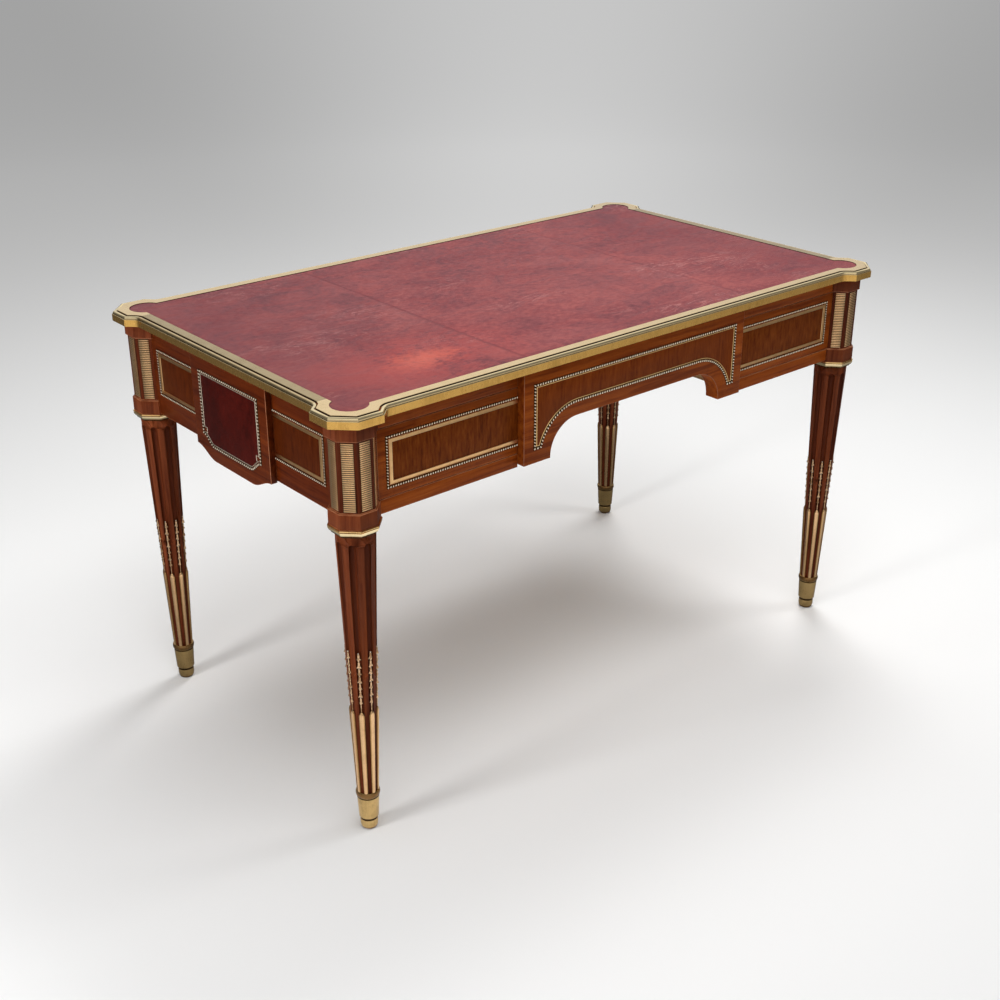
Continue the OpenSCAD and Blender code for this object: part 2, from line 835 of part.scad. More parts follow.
// Drawers

// Groove for a drawer bottom, from x0 to x1 and y0 to y1 above the box's lower edge z0
module bottom_groove(x0, x1, y0, y1, z0) {
    box([x0, y0, z0 + bottom_up - fit], [x1, y1, z0 + bottom_up + bottom_t + fit]);
}

module box_sides(x0, x1, y0, d, z0) {
    color(OAK) for (x = [x0, x1 - side_t]) difference() {
        box([x, y0, z0], [x + side_t, y0 + d, box_top]);
        bottom_groove(x0 + side_t - groove_d, x1 - side_t + groove_d, y0 - cut, y0 + d + cut, z0);
    }
}

module box_back(x0, x1, y0, d, z0) {
    lower = side_t / 2;
    color(OAK) box([x0 + side_t, y0 + d - side_t, z0 + bottom_up + bottom_t],
                   [x1 - side_t, y0 + d, box_top - lower]);
}

module box_bottom(x0, x1, y0, d, z0) {
    color(OAK) box([x0 + side_t - groove_d + fit, y0 - groove_d + fit, z0 + bottom_up],
        [x1 - side_t + groove_d - fit, y0 + d, z0 + bottom_up + bottom_t]);
}

module side_drawer_front(s) {
    color(MAHOGANY) on_side(s) difference() {
        box([divider_x + front_gap, -front_face, z_open_low + front_gap],
            [post_in_x - front_gap, frieze_t - front_face, z_open_top - front_gap]);
        bottom_groove(side_box_x0 + side_t - groove_d, side_box_x1 - side_t + groove_d,
            side_box_y0 - groove_d, side_box_y0 + cut, side_box_z0);
    }
}

module side_drawer_beading(s) {
    color(BRASS) on_side(s) translate([0, -front_face, 0]) bead_ring(divider_x + front_gap, post_in_x);
}

module side_drawer_flat(s) {
    color(BRASS) on_side(s) translate([0, -front_face, 0]) flat_ring(divider_x + front_gap, post_in_x);
}

module side_box(s, part) {
    on_side(s) {
        if (part == "sides") box_sides(side_box_x0, side_box_x1, side_box_y0, side_box_d, side_box_z0);
        if (part == "back") box_back(side_box_x0, side_box_x1, side_box_y0, side_box_d, side_box_z0);
        if (part == "bottom") box_bottom(side_box_x0, side_box_x1, side_box_y0, side_box_d, side_box_z0);
    }
}

module drawer_left_front() { side_drawer_front(-1); }
module drawer_left_sides() { side_box(-1, "sides"); }
module drawer_left_back() { side_box(-1, "back"); }
module drawer_left_bottom() { side_box(-1, "bottom"); }
module drawer_left_beading() { side_drawer_beading(-1); }
module drawer_left_flat_frame() { side_drawer_flat(-1); }

module drawer_right_front() { side_drawer_front(1); }
module drawer_right_sides() { side_box(1, "sides"); }
module drawer_right_back() { side_box(1, "back"); }
module drawer_right_bottom() { side_box(1, "bottom"); }
module drawer_right_beading() { side_drawer_beading(1); }
module drawer_right_flat_frame() { side_drawer_flat(1); }

module drawer_centre_front() {
    inner = centre_box_x - side_t + groove_d;
    color(MAHOGANY) difference() {
        board(-front_face - block_out, block_t) block_2d(z_under - front_gap);
        bottom_groove(-inner, inner, centre_box_y0 - groove_d, centre_box_y0 + cut, centre_box_z0);
    }
}

module drawer_centre_sides() {
    box_sides(-centre_box_x, centre_box_x, centre_box_y0, centre_box_d, centre_box_z0);
}

module drawer_centre_back() {
    box_back(-centre_box_x, centre_box_x, centre_box_y0, centre_box_d, centre_box_z0);
}

module drawer_centre_bottom() {
    box_bottom(-centre_box_x, centre_box_x, centre_box_y0, centre_box_d, centre_box_z0);
}

module drawer_centre_beading() {
    color(BRASS) translate([0, -front_face - block_out, 0]) block_beading();
}

top_panel();
leather_top();
brass_edge_front();
brass_edge_back();
brass_edge_left();
brass_edge_right();
brass_corner_front_left();
brass_corner_front_right();
brass_corner_back_left();
brass_corner_back_right();
leg_front_left();
leg_front_right();
leg_back_left();
leg_back_right();
foot_cup_front_left();
foot_cup_front_right();
foot_cup_back_left();
foot_cup_back_right();
collar_rings();
reeded_panels();
husk_chains();
flute_rods();
back_frieze();
back_centre_block();
end_frieze_left();
end_frieze_right();
end_tablet_left();
end_tablet_right();
tablet_leathers();
front_top_rail();
bottom_rail_left();
bottom_rail_right();
divider_left();
divider_right();
drawer_runners();
drawer_kickers();
glue_blocks();
back_beading();
back_flat_frames();
end_beading_left();
end_flat_frames_left();
end_beading_right();
end_flat_frames_right();
drawer_left_front();
drawer_left_sides();
drawer_left_back();
drawer_left_bottom();
drawer_left_beading();
drawer_left_flat_frame();
drawer_right_front();
drawer_right_sides();
drawer_right_back();
drawer_right_bottom();
drawer_right_beading();
drawer_right_flat_frame();
drawer_centre_front();
drawer_centre_sides();
drawer_centre_back();
drawer_centre_bottom();
drawer_centre_beading();
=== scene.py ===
"""Looks of a neoclassical writing desk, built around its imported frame.

Classes hold their sizes in millimetres, and meshes are made in metres in the frame's own axes:
X runs along the desk, the drawers face -Y and the floor is at Z = 0.
"""

import logging
import math
from contextlib import contextmanager
from dataclasses import dataclass
from enum import Enum
from typing import Callable, ClassVar, Iterable, Iterator, Sequence

import bpy
from mathutils import Matrix, Vector


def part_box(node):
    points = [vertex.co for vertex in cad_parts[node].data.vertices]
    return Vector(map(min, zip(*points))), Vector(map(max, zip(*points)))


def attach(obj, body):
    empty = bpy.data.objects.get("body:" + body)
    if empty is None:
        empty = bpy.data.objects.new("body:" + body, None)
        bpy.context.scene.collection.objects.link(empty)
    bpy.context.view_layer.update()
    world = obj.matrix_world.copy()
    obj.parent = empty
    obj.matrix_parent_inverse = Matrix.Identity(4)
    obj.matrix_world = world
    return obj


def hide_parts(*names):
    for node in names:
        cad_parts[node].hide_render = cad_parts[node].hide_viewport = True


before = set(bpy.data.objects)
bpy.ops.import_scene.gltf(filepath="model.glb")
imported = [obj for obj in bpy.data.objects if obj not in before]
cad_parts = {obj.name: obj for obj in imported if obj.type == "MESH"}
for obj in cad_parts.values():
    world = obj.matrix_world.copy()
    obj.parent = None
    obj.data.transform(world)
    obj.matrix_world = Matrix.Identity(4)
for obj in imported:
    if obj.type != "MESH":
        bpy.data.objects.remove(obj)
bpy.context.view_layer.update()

log = logging.getLogger("desk")
MM = 0.001
# Corners that are closer than this become one, in metres: in new meshes and in copies of the nodes
MERGE, NODE_MERGE = 0.00001, 0.00003
# Least upright part of the normal of a face that counts as level
LEVEL = 0.9
# Half the turn from side to side of an eight-sided shape, in degrees
HALF_SIDE = 22.5
Object = bpy.types.Object
Socket = bpy.types.NodeSocket
Point = tuple[float, float]
Colour = tuple[float, float, float]
Step = tuple[float, ...]
FaceTest = Callable[[bpy.types.MeshPolygon], bool]
SIDES = ((-1, "left"), (1, "right"))
DEPTHS = ((-1, "front"), (1, "back"))


class Face(Enum):
    """The four upright faces of the frieze, as the turn in degrees from the front."""

    FRONT = 0
    RIGHT = 90
    BACK = 180
    LEFT = -90


class Grain(Enum):
    """Direction in which the wood's grain runs, as the turn of its pattern."""

    LENGTH = (0, 0, 0)
    DEPTH = (0, 0, math.pi / 2)
    HEIGHT = (0, math.pi / 2, 0)


# Bench tools for meshes


def deselect() -> None:
    """Leaves edit mode and selects nothing."""
    if bpy.context.object and bpy.context.object.mode != "OBJECT":
        bpy.ops.object.mode_set(mode="OBJECT")
    bpy.ops.object.select_all(action="DESELECT")


def take(obj: Object) -> Object:
    """Selects one object alone and makes it the active one.

    Args:
        obj: The object.

    Returns:
        The same object.
    """
    deselect()
    obj.select_set(True)
    bpy.context.view_layer.objects.active = obj
    return obj


@contextmanager
def editing(obj: Object, wanted: FaceTest | None = None) -> Iterator[None]:
    """Opens an object in edit mode with faces selected, and closes it again.

    Args:
        obj: The object, which becomes the active one.
        wanted: Says whether a face is selected, or None for all faces.

    Yields:
        Nothing, while the object is open.
    """
    take(obj)
    bpy.ops.object.mode_set(mode="EDIT")
    bpy.ops.mesh.select_mode(type="FACE")
    bpy.ops.mesh.select_all(action="DESELECT" if wanted else "SELECT")
    if wanted:
        bpy.ops.object.mode_set(mode="OBJECT")
        for polygon in obj.data.polygons:
            polygon.select = wanted(polygon)
        bpy.ops.object.mode_set(mode="EDIT")
    yield
    bpy.ops.object.mode_set(mode="OBJECT")


def named(obj: Object, name: str) -> Object:
    """Names an object and its mesh alike.

    Args:
        obj: The object.
        name: Its name.

    Returns:
        The same object.
    """
    obj.name = name
    obj.data.name = name
    return obj


def settle(obj: Object) -> Object:
    """Applies an object's place, turn and scale to its mesh.

    Args:
        obj: The object.

    Returns:
        The same object.
    """
    take(obj)
    bpy.ops.object.transform_apply(location=True, rotation=True, scale=True)
    return obj


def at(x: float, y: float, z: float = 0.0) -> Matrix:
    """The move to a place in millimetres."""
    return Matrix.Translation(Vector((x, y, z)) * MM)


def about(axis: str, degrees: float) -> Matrix:
    """A turn about an axis in degrees."""
    return Matrix.Rotation(math.radians(degrees), 4, axis)


def direction(azimuth: float, elevation: float) -> Vector:
    """The way that lies so many degrees round from +X and so many up."""
    a, e = math.radians(azimuth), math.radians(elevation)
    return Vector((math.cos(a) * math.cos(e), math.sin(a) * math.cos(e), math.sin(e)))


def box_mm(node: str) -> list[Vector]:
    """The low and the high corner of a node's box in millimetres."""
    return [Vector(corner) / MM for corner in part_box(node)]


def tidy(obj: Object, merge: float = MERGE) -> Object:
    """Merges corners that lie within a distance in metres and turns all faces outwards.

    Args:
        obj: A closed mesh.
        merge: Distance in metres within which corners become one.

    Returns:
        The same object.
    """
    with editing(obj):
        bpy.ops.mesh.remove_doubles(threshold=merge)
        bpy.ops.mesh.normals_make_consistent(inside=False)
    return obj


def largest(obj: Object, way: int) -> int:
    """The number of an object's largest level face, which looks up for a way of 1 and down for -1."""
    return max(obj.data.polygons, key=lambda f: f.area if f.normal.z * way > LEVEL else 0).index


def banded(obj: Object, base: float, *bands: tuple[int, float, float]) -> Object:
    """Gives the faces of some levels another material slot.

    Args:
        obj: The object.
        base: Height in millimetres from which the bands are measured.
        bands: Slot, lower and upper height of each band, between which a face's middle lies.

    Returns:
        The same object.
    """
    for polygon in obj.data.polygons:
        for slot, low, high in bands:
            if low < polygon.center.z / MM - base < high:
                polygon.material_index = slot
    return obj


def outline(name: str, points: Sequence[Point], height: float = 0.0) -> Object:
    """Makes a flat face that looks up.

    Args:
        name: Name of the new object.
        points: Corners in order, as X and Y in millimetres.
        height: Height of the face in millimetres.

    Returns:
        An object that holds the one face.
    """
    deselect()
    bpy.ops.mesh.primitive_circle_add(vertices=len(points), radius=1, fill_type="NGON")
    obj = named(bpy.context.object, name)
    for vertex, (x, y) in zip(obj.data.vertices, points):
        vertex.co = Vector((x, y, height)) * MM
    obj.data.update()
    if obj.data.polygons[0].normal.z < 0:
        with editing(obj):
            bpy.ops.mesh.flip_normals()
    return obj


def draw_in(width: float, rise: float = 0.0) -> None:
    """Draws the selected faces in by a width and raises them, in millimetres."""
    bpy.ops.mesh.inset(thickness=width * MM, depth=rise * MM, use_even_offset=True)


def raised(obj: Object, steps: Iterable[Step]) -> Object:
    """Shapes a flat face upwards in steps and tidies the mesh.

    Args:
        obj: An object that holds one face.
        steps: For each step the width drawn in, the rise, both in millimetres, and
            where wanted the material slot of the faces that the step makes.

    Returns:
        The same object.
    """
    with editing(obj):
        for width, rise, *slot in steps:
            if slot:
                obj.active_material_index = slot[0]
                bpy.ops.object.material_slot_assign()
            if width:
                draw_in(width, rise)
                continue
            obj.update_from_editmode()
            normals = (face.normal for face in obj.data.polygons if face.select)
            way = sum(normals, Vector()).normalized() * rise * MM
            bpy.ops.mesh.extrude_region_move(TRANSFORM_OT_translate={"value": way})
    return tidy(obj)


def smooth(obj: Object, angle: float = 40) -> Object:
    """Shades an object smooth where its faces meet at less than an angle.

    Args:
        obj: The object.
        angle: The angle in degrees.

    Returns:
        The same object.
    """
    take(obj)
    bpy.ops.object.shade_smooth_by_angle(angle=math.radians(angle))
    return obj


def bevelled(obj: Object, width: float, segments: int = 2, slot: int = -1, angle: float = 30) -> Object:
    """Rounds an object's sharp edges and shades it smooth across the rest.

    Args:
        obj: A closed mesh.
        width: Width of the bevel in millimetres.
        segments: Faces across the bevel.
        slot: Material slot of the bevel, or -1 to keep that of its neighbours.
        angle: Least angle of an edge that counts as sharp, in degrees.

    Returns:
        The same object.
    """
    take(obj)
    bevel = obj.modifiers.new("edges", "BEVEL")
    bevel.width = width * MM
    bevel.segments = segments
    bevel.limit_method = "ANGLE"
    bevel.angle_limit = math.radians(angle)
    bevel.material = slot
    bevel.miter_outer = "MITER_ARC" if segments > 1 else "MITER_SHARP"
    bpy.ops.object.modifier_apply(modifier="edges")
    return smooth(obj, angle)


def cut_out(obj: Object, tool: Object) -> Object:
    """Cuts one closed mesh out of another and deletes the tool.

    Args:
        obj: The mesh that stays.
        tool: The mesh that is cut out of it.

    Returns:
        The first object.
    """
    take(obj)
    boolean = obj.modifiers.new("cut", "BOOLEAN")
    boolean.operation = "DIFFERENCE"
    boolean.solver = "EXACT"
    boolean.object = tool
    bpy.ops.object.modifier_apply(modifier="cut")
    bpy.data.objects.remove(tool)
    return obj


def keep_behind(obj: Object, x: float, y: float, nx: float, ny: float) -> None:
    """Cuts an object with an upright plane and keeps what lies behind it, closed where it is cut.

    Args:
        obj: A closed mesh.
        x: X of a point on the plane in millimetres.
        y: Y of that point.
        nx: X of the plane's normal.
        ny: Y of the plane's normal.
    """
    with editing(obj):
        bpy.ops.mesh.bisect(
            plane_co=Vector((x, y, 0)) * MM, plane_no=(nx, ny, 0), use_fill=True, clear_outer=True)


def twin(obj: Object, name: str, place: Matrix | None = None) -> Object:
    """Copies an object with a mesh of its own.

    Args:
        obj: The object to copy.
        name: Name of the copy.
        place: Where the copy's mesh goes, or None to leave it.

    Returns:
        The copy.
    """
    copy = bpy.data.objects.new(name, obj.data.copy())
    bpy.context.scene.collection.objects.link(copy)
    copy.data.name = name
    if place is not None:
        copy.data.transform(place)
    return copy


def joined(name: str, pieces: Sequence[Object]) -> Object:
    """Joins several objects into one.

    Args:
        name: Name of the new object.
        pieces: The objects, of which the first takes in the others.

    Returns:
        The joined object.
    """
    deselect()
    for piece in pieces:
        piece.select_set(True)
    bpy.context.view_layer.objects.active = pieces[0]
    bpy.ops.object.join()
    return named(bpy.context.object, name)


def turned(name: str, profile: Sequence[Point], sides: int, turn: float = 0.0) -> Object:
    """Makes a turned shape on the Z axis by extruding a disc from level to level.

    Args:
        name: Name of the new object.
        profile: Radius and height of each level in millimetres, from the lowest up.
        sides: Number of sides.
        turn: Turn of the whole shape in degrees.

    Returns:
        A closed mesh, whose radius is measured to its corners.
    """
    deselect()
    radius, height = profile[0]
    bpy.ops.mesh.primitive_circle_add(
        vertices=sides, radius=radius * MM, fill_type="NGON",
        location=(0, 0, height * MM), rotation=(0, 0, math.radians(turn)))
    obj = settle(named(bpy.context.object, name))
    with editing(obj):
        for (r0, z0), (r1, z1) in zip(profile, profile[1:]):
            bpy.ops.mesh.extrude_region_move(TRANSFORM_OT_translate={"value": (0, 0, (z1 - z0) * MM)})
            bpy.ops.transform.resize(value=(r1 / r0, r1 / r0, 1), center_override=(0, 0, z1 * MM))
    return tidy(obj)


def dressed(obj: Object, *finishes: "Finish") -> Object:
    """Gives an object its finishes, one in each material slot.

    Args:
        obj: The object.
        finishes: The finish of each slot.

    Returns:
        The same object.
    """
    obj.data.materials.clear()
    for finish in finishes:
        obj.data.materials.append(finish.material())
    return obj


def fitted(obj: Object, *nodes: str, body: str = "carcass", slot: str = "brass") -> Object:
    """Hangs a finished piece on its body, hides the nodes that it replaces and logs its faces.

    Args:
        obj: The finished piece.
        nodes: The plain nodes that it replaces.
        body: The body that it moves with.
        slot: Not used.

    Returns:
        The same piece.
    """
    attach(obj, body)
    if nodes:
        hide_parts(*nodes)
    log.info("%s: %d faces on %s", obj.name, len(obj.data.polygons), body)
    return obj


def arc(centre: Point, radius: float, start: float, end: float, steps: int) -> list[Point]:
    """Points along a round stretch, from one angle to another in degrees."""
    turns = [math.radians(start + (end - start) * i / steps) for i in range(steps + 1)]
    return [(centre[0] + radius * math.cos(t), centre[1] + radius * math.sin(t)) for t in turns]


# Node trees


class Flow:
    """A node's output, on which each sum adds a Math node."""

    def __init__(self, tree: "Tree", socket: Socket) -> None:
        """Keeps the output and the tree that it is in."""
        self.tree = tree
        self.socket = socket

    def __add__(self, other: "float | Flow") -> "Flow":
        """This and another."""
        return self.tree.maths("ADD", self, other)

    def __sub__(self, other: "float | Flow") -> "Flow":
        """This less another."""
        return self.tree.maths("SUBTRACT", self, other)

    def __rsub__(self, other: float) -> "Flow":
        """A number less this."""
        return self.tree.maths("SUBTRACT", other, self)

    def __mul__(self, other: "float | Flow") -> "Flow":
        """This times another."""
        return self.tree.maths("MULTIPLY", self, other)

    def size(self) -> "Flow":
        """This without its sign."""
        return self.tree.maths("ABSOLUTE", self)


Flows = dict[str, Flow]


class Tree:
    """Adds nodes to a node tree and links them."""

    def __init__(self, tree: bpy.types.NodeTree) -> None:
        """Keeps the tree that the nodes go into."""
        self.tree = tree

    def feed(self, node: bpy.types.Node, inputs: dict) -> None:
        """Links or sets a node's inputs, by their names or numbers.

        Args:
            node: The node.
            inputs: Values or flows, by input name or number.
        """
        for key, value in inputs.items():
            socket = node.inputs[key]
            if isinstance(value, Flow):
                self.tree.links.new(value.socket, socket)
            else:
                socket.default_value = (*value, 1) if socket.type == "RGBA" else value

    def add(self, kind: str, inputs: dict | None = None, **settings: object) -> bpy.types.Node:
        """Adds one node.

        Args:
            kind: The node's type, without the ShaderNode in front.
            inputs: Values or flows, by input name or number.
            settings: The node's own properties.

        Returns:
            The new node.
        """
        node = self.tree.nodes.new("ShaderNode" + kind)
        for key, value in settings.items():
            setattr(node, key, value)
        self.feed(node, inputs or {})
        return node

    def out(self, kind: str, inputs: dict | None = None, output: int | str = 0, **settings: object) -> Flow:
        """Adds one node, and returns one of its outputs."""
        return Flow(self, self.add(kind, inputs, **settings).outputs[output])

    def maths(self, operation: str, *values: float | Flow, clamp: bool = False) -> Flow:
        """The result of a sum on numbers or flows."""
        return self.out("Math", dict(enumerate(values)), operation=operation, use_clamp=clamp)

    def vector(self, operation: str, *values: Flow | Sequence[float], output: str = "Value") -> Flow:
        """The result of a sum on vectors."""
        return self.out("VectorMath", dict(enumerate(values)), output, operation=operation)

    def ramp(self, value: Flow, low: float, high: float, start: float = 0, end: float = 1) -> Flow:
        """Maps a stretch of values smoothly onto another."""
        return self.out("MapRange", {"Value": value, "From Min": low, "From Max": high,
                                     "To Min": start, "To Max": end}, interpolation_type="SMOOTHSTEP")

    def mix(self, share: float | Flow, first: Colour | Flow, second: Colour | Flow) -> Flow:
        """Mixes two colours."""
        return self.out("Mix", {0: share, 6: first, 7: second}, 2, data_type="RGBA")

    def blend(self, share: Flow, first: float | Flow, second: float | Flow) -> Flow:
        """Mixes two values."""
        return self.out("Mix", {0: share, 2: first, 3: second})

    def grey(self, value: Flow) -> Flow:
        """A grey of a value."""
        return self.out("CombineXYZ", dict.fromkeys(range(3), value))

    def rays(self) -> tuple[Flow, Flow]:
        """Whether a ray comes from the camera, and whether it comes from a mirroring surface."""
        outputs = self.add("LightPath").outputs
        return Flow(self, outputs["Is Camera Ray"]), Flow(self, outputs["Is Glossy Ray"])

    def stretched(self, vector: Flow, scale: Sequence[float], place: Sequence[float] = (0, 0, 0)) -> Flow:
        """A vector scaled along each axis and then moved."""
        return self.out("Mapping", {"Vector": vector, "Location": place, "Scale": scale})

    def noise(self, vector: Flow, scale: float | Sequence[float], detail: float = 3, rough: float = 0.5,
              distortion: float = 0, place: Sequence[float] = (0, 0, 0)) -> Flow:
        """The value of a noise texture, whose scale may differ along the axes.

        Args:
            vector: The coordinates.
            scale: One scale, or one for each axis.
            detail: The texture's detail.
            rough: The texture's roughness.
            distortion: The texture's distortion.
            place: Where the pattern is moved to.

        Returns:
            The texture's value.
        """
        if isinstance(scale, tuple):
            vector, scale = self.stretched(vector, scale, place), 1
        return self.out("TexNoise", {"Vector": vector, "Scale": scale, "Detail": detail,
                                     "Roughness": rough, "Distortion": distortion})

    def group(self, build: "Callable[[Tree, Flows], Flows]", inputs: dict) -> Flows:
        """Places a shader node group, which is made the first time.

        Args:
            build: Adds the group's nodes to its tree, and gives the group its name.
            inputs: Flows, numbers and colours, by input name.

        Returns:
            The group's outputs by name.
        """
        made = bpy.data.node_groups.get(build.__name__) or effect(build, inputs)
        node = self.add("Group", inputs, node_tree=made)
        return {socket.name: Flow(self, socket) for socket in node.outputs}


def effect(build: Callable[[Tree, Flows], Flows], inputs: dict) -> bpy.types.NodeTree:
    """Makes the shader node group of an effect.

    Args:
        build: Adds the nodes, and returns the output flows by name.
        inputs: The first user's values, which give each input its type.

    Returns:
        The group.
    """
    group = bpy.data.node_groups.new(build.__name__, "ShaderNodeTree")
    for label, value in inputs.items():
        kind = "Vector" if label == "Vector" else "Color" if isinstance(value, tuple) else "Float"
        group.interface.new_socket(label, in_out="INPUT", socket_type="NodeSocket" + kind)
    tree = Tree(group)
    source = group.nodes.new("NodeGroupInput")
    results = build(tree, {label: Flow(tree, source.outputs[label]) for label in inputs})
    for label in results:
        kind = "Color" if label == "Color" else "Float"
        group.interface.new_socket(label, in_out="OUTPUT", socket_type="NodeSocket" + kind)
    tree.feed(group.nodes.new("NodeGroupOutput"), results)
    return group


def polished_wood(t: Tree, s: Flows) -> Flows:
    """Polished wood, whose grain runs along X: streaks, flecks, fine grain, pores and cross figure.

    Args:
        t: The group's tree.
        s: The group's inputs by name.

    Returns:
        The group's outputs by name.
    """
    v = s["Vector"]
    sway = t.noise(v, (6, 14, 14), 2) * 0.012
    bent = t.vector("ADD", v, t.out("CombineXYZ", {"X": 0.0, "Y": sway, "Z": sway}), output="Vector")
    streaks = t.noise(bent, (2.4, 105, 105), 4, 0.55)
    flecks = t.noise(bent, (42, 230, 230), 3, 0.6)
    fine = t.noise(bent, (14, 480, 480), 3, 0.6)
    pores = t.ramp(t.noise(bent, (60, 1500, 1500), 2, 0.7), 0.58, 0.72)
    ripple = t.noise(v, (95, 16, 16), 2, 0.5, 1.2)
    patches = t.ramp(t.noise(v, (9, 12, 12), 2), 0.38, 0.66)
    figure = (ripple - 0.5) * (patches * s["Figure"])
    tone = t.blend(s["Flecks"], streaks, flecks) * 0.8 + fine * 0.28 + figure
    colour = t.mix(t.ramp(tone, 0.38, 0.55), s["Dark"], s["Middle"])
    colour = t.mix(t.ramp(tone, 0.52, 0.78), colour, s["Light"])
    colour = t.mix(pores * 0.45, colour, t.mix(0.55, s["Dark"], (0.0, 0.0, 0.0)))
    worn = t.ramp(t.noise(v, 7, 4, 0.6), 0.35, 0.7)
    return {"Color": colour, "Roughness": s["Gloss"] + worn * 0.14 + pores * 0.1,
            "Height": fine * 0.3 - pores * 0.7}


def old_brass(t: Tree, s: Flows) -> Flows:
    """Old gilt brass: cloudy tarnish, fine brushing and small pits.

    Args:
        t: The group's tree.
        s: The group's inputs by name.

    Returns:
        The group's outputs by name.
    """
    v = s["Vector"]
    clouds = t.noise(v, 38, 5, 0.62)
    spots = t.noise(v, 260, 3, 0.6)
    brushing = t.noise(v, (900, 900, 60), 2, 0.5)
    strokes = t.noise(v, (330, 330, 14), 3, 0.6)
    dull = t.ramp(clouds * 0.75 + spots * 0.25, 0.42, 0.66) * s["Tarnish"]
    dull = t.maths("ADD", dull, (strokes - 0.5) * s["Brushing"], clamp=True)
    colour = t.mix(dull, s["Bright"], s["Dull"])
    colour = t.mix(t.ramp(spots, 0.62, 0.76) * (s["Tarnish"] * 0.6), colour, (0.09, 0.055, 0.02))
    return {"Color": colour, "Roughness": s["Gloss"] + dull * 0.22 + (brushing - 0.5) * 0.12,
            "Height": brushing * 0.5 + spots * 0.5}


def waxed_hide(t: Tree, s: Flows) -> Flows:
    """Worn, waxed leather: blotches, pale rubbed streaks and a fine grain.

    Args:
        t: The group's tree.
        s: The group's inputs by name.

    Returns:
        The group's outputs by name.
    """
    v = s["Vector"]
    broad = t.noise(v, (3.2, 4.2, 3), 6, 0.62, 0.8)
    cloud = t.noise(v, (11, 15, 10), 6, 0.68, 1.4, (3.1, 0.7, 0))
    speck = t.noise(v, (90, 130, 90), 4, 0.7, place=(0.4, 2.3, 0))
    tone = broad * 0.34 + cloud * 0.36 + speck * 0.3
    colour = t.mix(t.ramp(tone, 0.38, 0.51), s["Dark"], s["Middle"])
    colour = t.mix(t.ramp(tone, 0.47, 0.62), colour, s["Light"])
    flow = t.noise(v, (5, 19, 9), 5, 0.6, 2.6, (7.2, 1.9, 0))
    where = t.ramp(t.noise(v, (4, 6, 5), 2, place=(1.3, 4.4, 0)), 0.48, 0.66)
    streak = t.ramp((flow - 0.5).size(), 0.016, 0.0) * (where * s["Rubbing"])
    colour = t.mix(streak, colour, s["Pale"])
    grain = t.ramp(t.out("TexVoronoi", {"Vector": v, "Scale": 700.0}, feature="DISTANCE_TO_EDGE"), 0.0, 0.16)
    colour = t.mix((1.0 - grain) * 0.22, colour, s["Dark"])
    return {"Color": colour, "Roughness": s["Gloss"] + t.ramp(cloud, 0.4, 0.65) * 0.14,
            "Height": grain * 0.5 + cloud * 1.5 - streak * 0.6, "Tone": tone}


# Finishes


def blank_material(name: str) -> tuple[bpy.types.Material, Tree]:
    """A new material without nodes, and its tree.

    Args:
        name: Name of the material.

    Returns:
        The material and its tree.
    """
    made = bpy.data.materials.new(name)
    made.use_nodes = True
    made.node_tree.nodes.clear()
    return made, Tree(made.node_tree)


class Finish:
    """A finish that makes its material the first time that it is asked for.

    The relief is how strongly its height shows and how deep it is in metres.
    """

    name: str
    relief: ClassVar[tuple[float, float]]

    def material(self) -> bpy.types.Material:
        """The finished material.

        Returns:
            The material.
        """
        if self.name in bpy.data.materials:
            return bpy.data.materials[self.name]
        made, tree = blank_material(self.name)
        shader = tree.add("BsdfPrincipled")
        self.wire(tree, shader, tree.out("TexCoord", output="Object"))
        tree.feed(tree.add("OutputMaterial"), {"Surface": Flow(tree, shader.outputs[0])})
        return made

    def wire(self, tree: Tree, shader: bpy.types.Node, place: Flow) -> None:
        """Links the finish's own nodes from the object's coordinates to the shader."""
        raise NotImplementedError

    def spread(self, tree: Tree, shader: bpy.types.Node, made: Flows) -> None:
        """Links a group's colour, roughness and height to the shader.

        Args:
            tree: The material's tree.
            shader: The material's shader.
            made: The group's outputs by name.
        """
        strength, depth = self.relief
        bump = tree.out("Bump", {"Height": made["Height"], "Strength": strength, "Distance": depth})
        tree.feed(shader, {"Base Color": made["Color"], "Roughness": made["Roughness"], "Normal": bump})


@dataclass(frozen=True)
class Wood(Finish):
    """Polished or plain wood, with its grain in one direction."""

    relief = (0.25, 0.0002)
    name: str
    light: Colour
    middle: Colour
    dark: Colour
    grain: Grain = Grain.LENGTH
    figure: float = 0.4
    flecks: float = 0.0
    gloss: float = 0.3
    lacquer: float = 0.02
    sheen: float = 0.05
    shift: float = 0.0

    def wire(self, tree: Tree, shader: bpy.types.Node, place: Flow) -> None:
        """Turns the grain to its direction and links the wood.

        Args:
            tree: The material's tree.
            shader: The material's shader.
            place: The object's coordinates.
        """
        vector = tree.out("Mapping", {"Vector": place, "Location": (self.shift, self.shift * 0.7, 0),
                                      "Rotation": self.grain.value})
        made = tree.group(polished_wood, {
            "Vector": vector, "Light": self.light, "Middle": self.middle, "Dark": self.dark,
            "Figure": self.figure, "Flecks": self.flecks, "Gloss": self.gloss})
        self.spread(tree, shader, made)
        tree.feed(shader, {"Specular IOR Level": self.sheen, "Coat Weight": self.lacquer,
                           "Coat Roughness": 0.12})


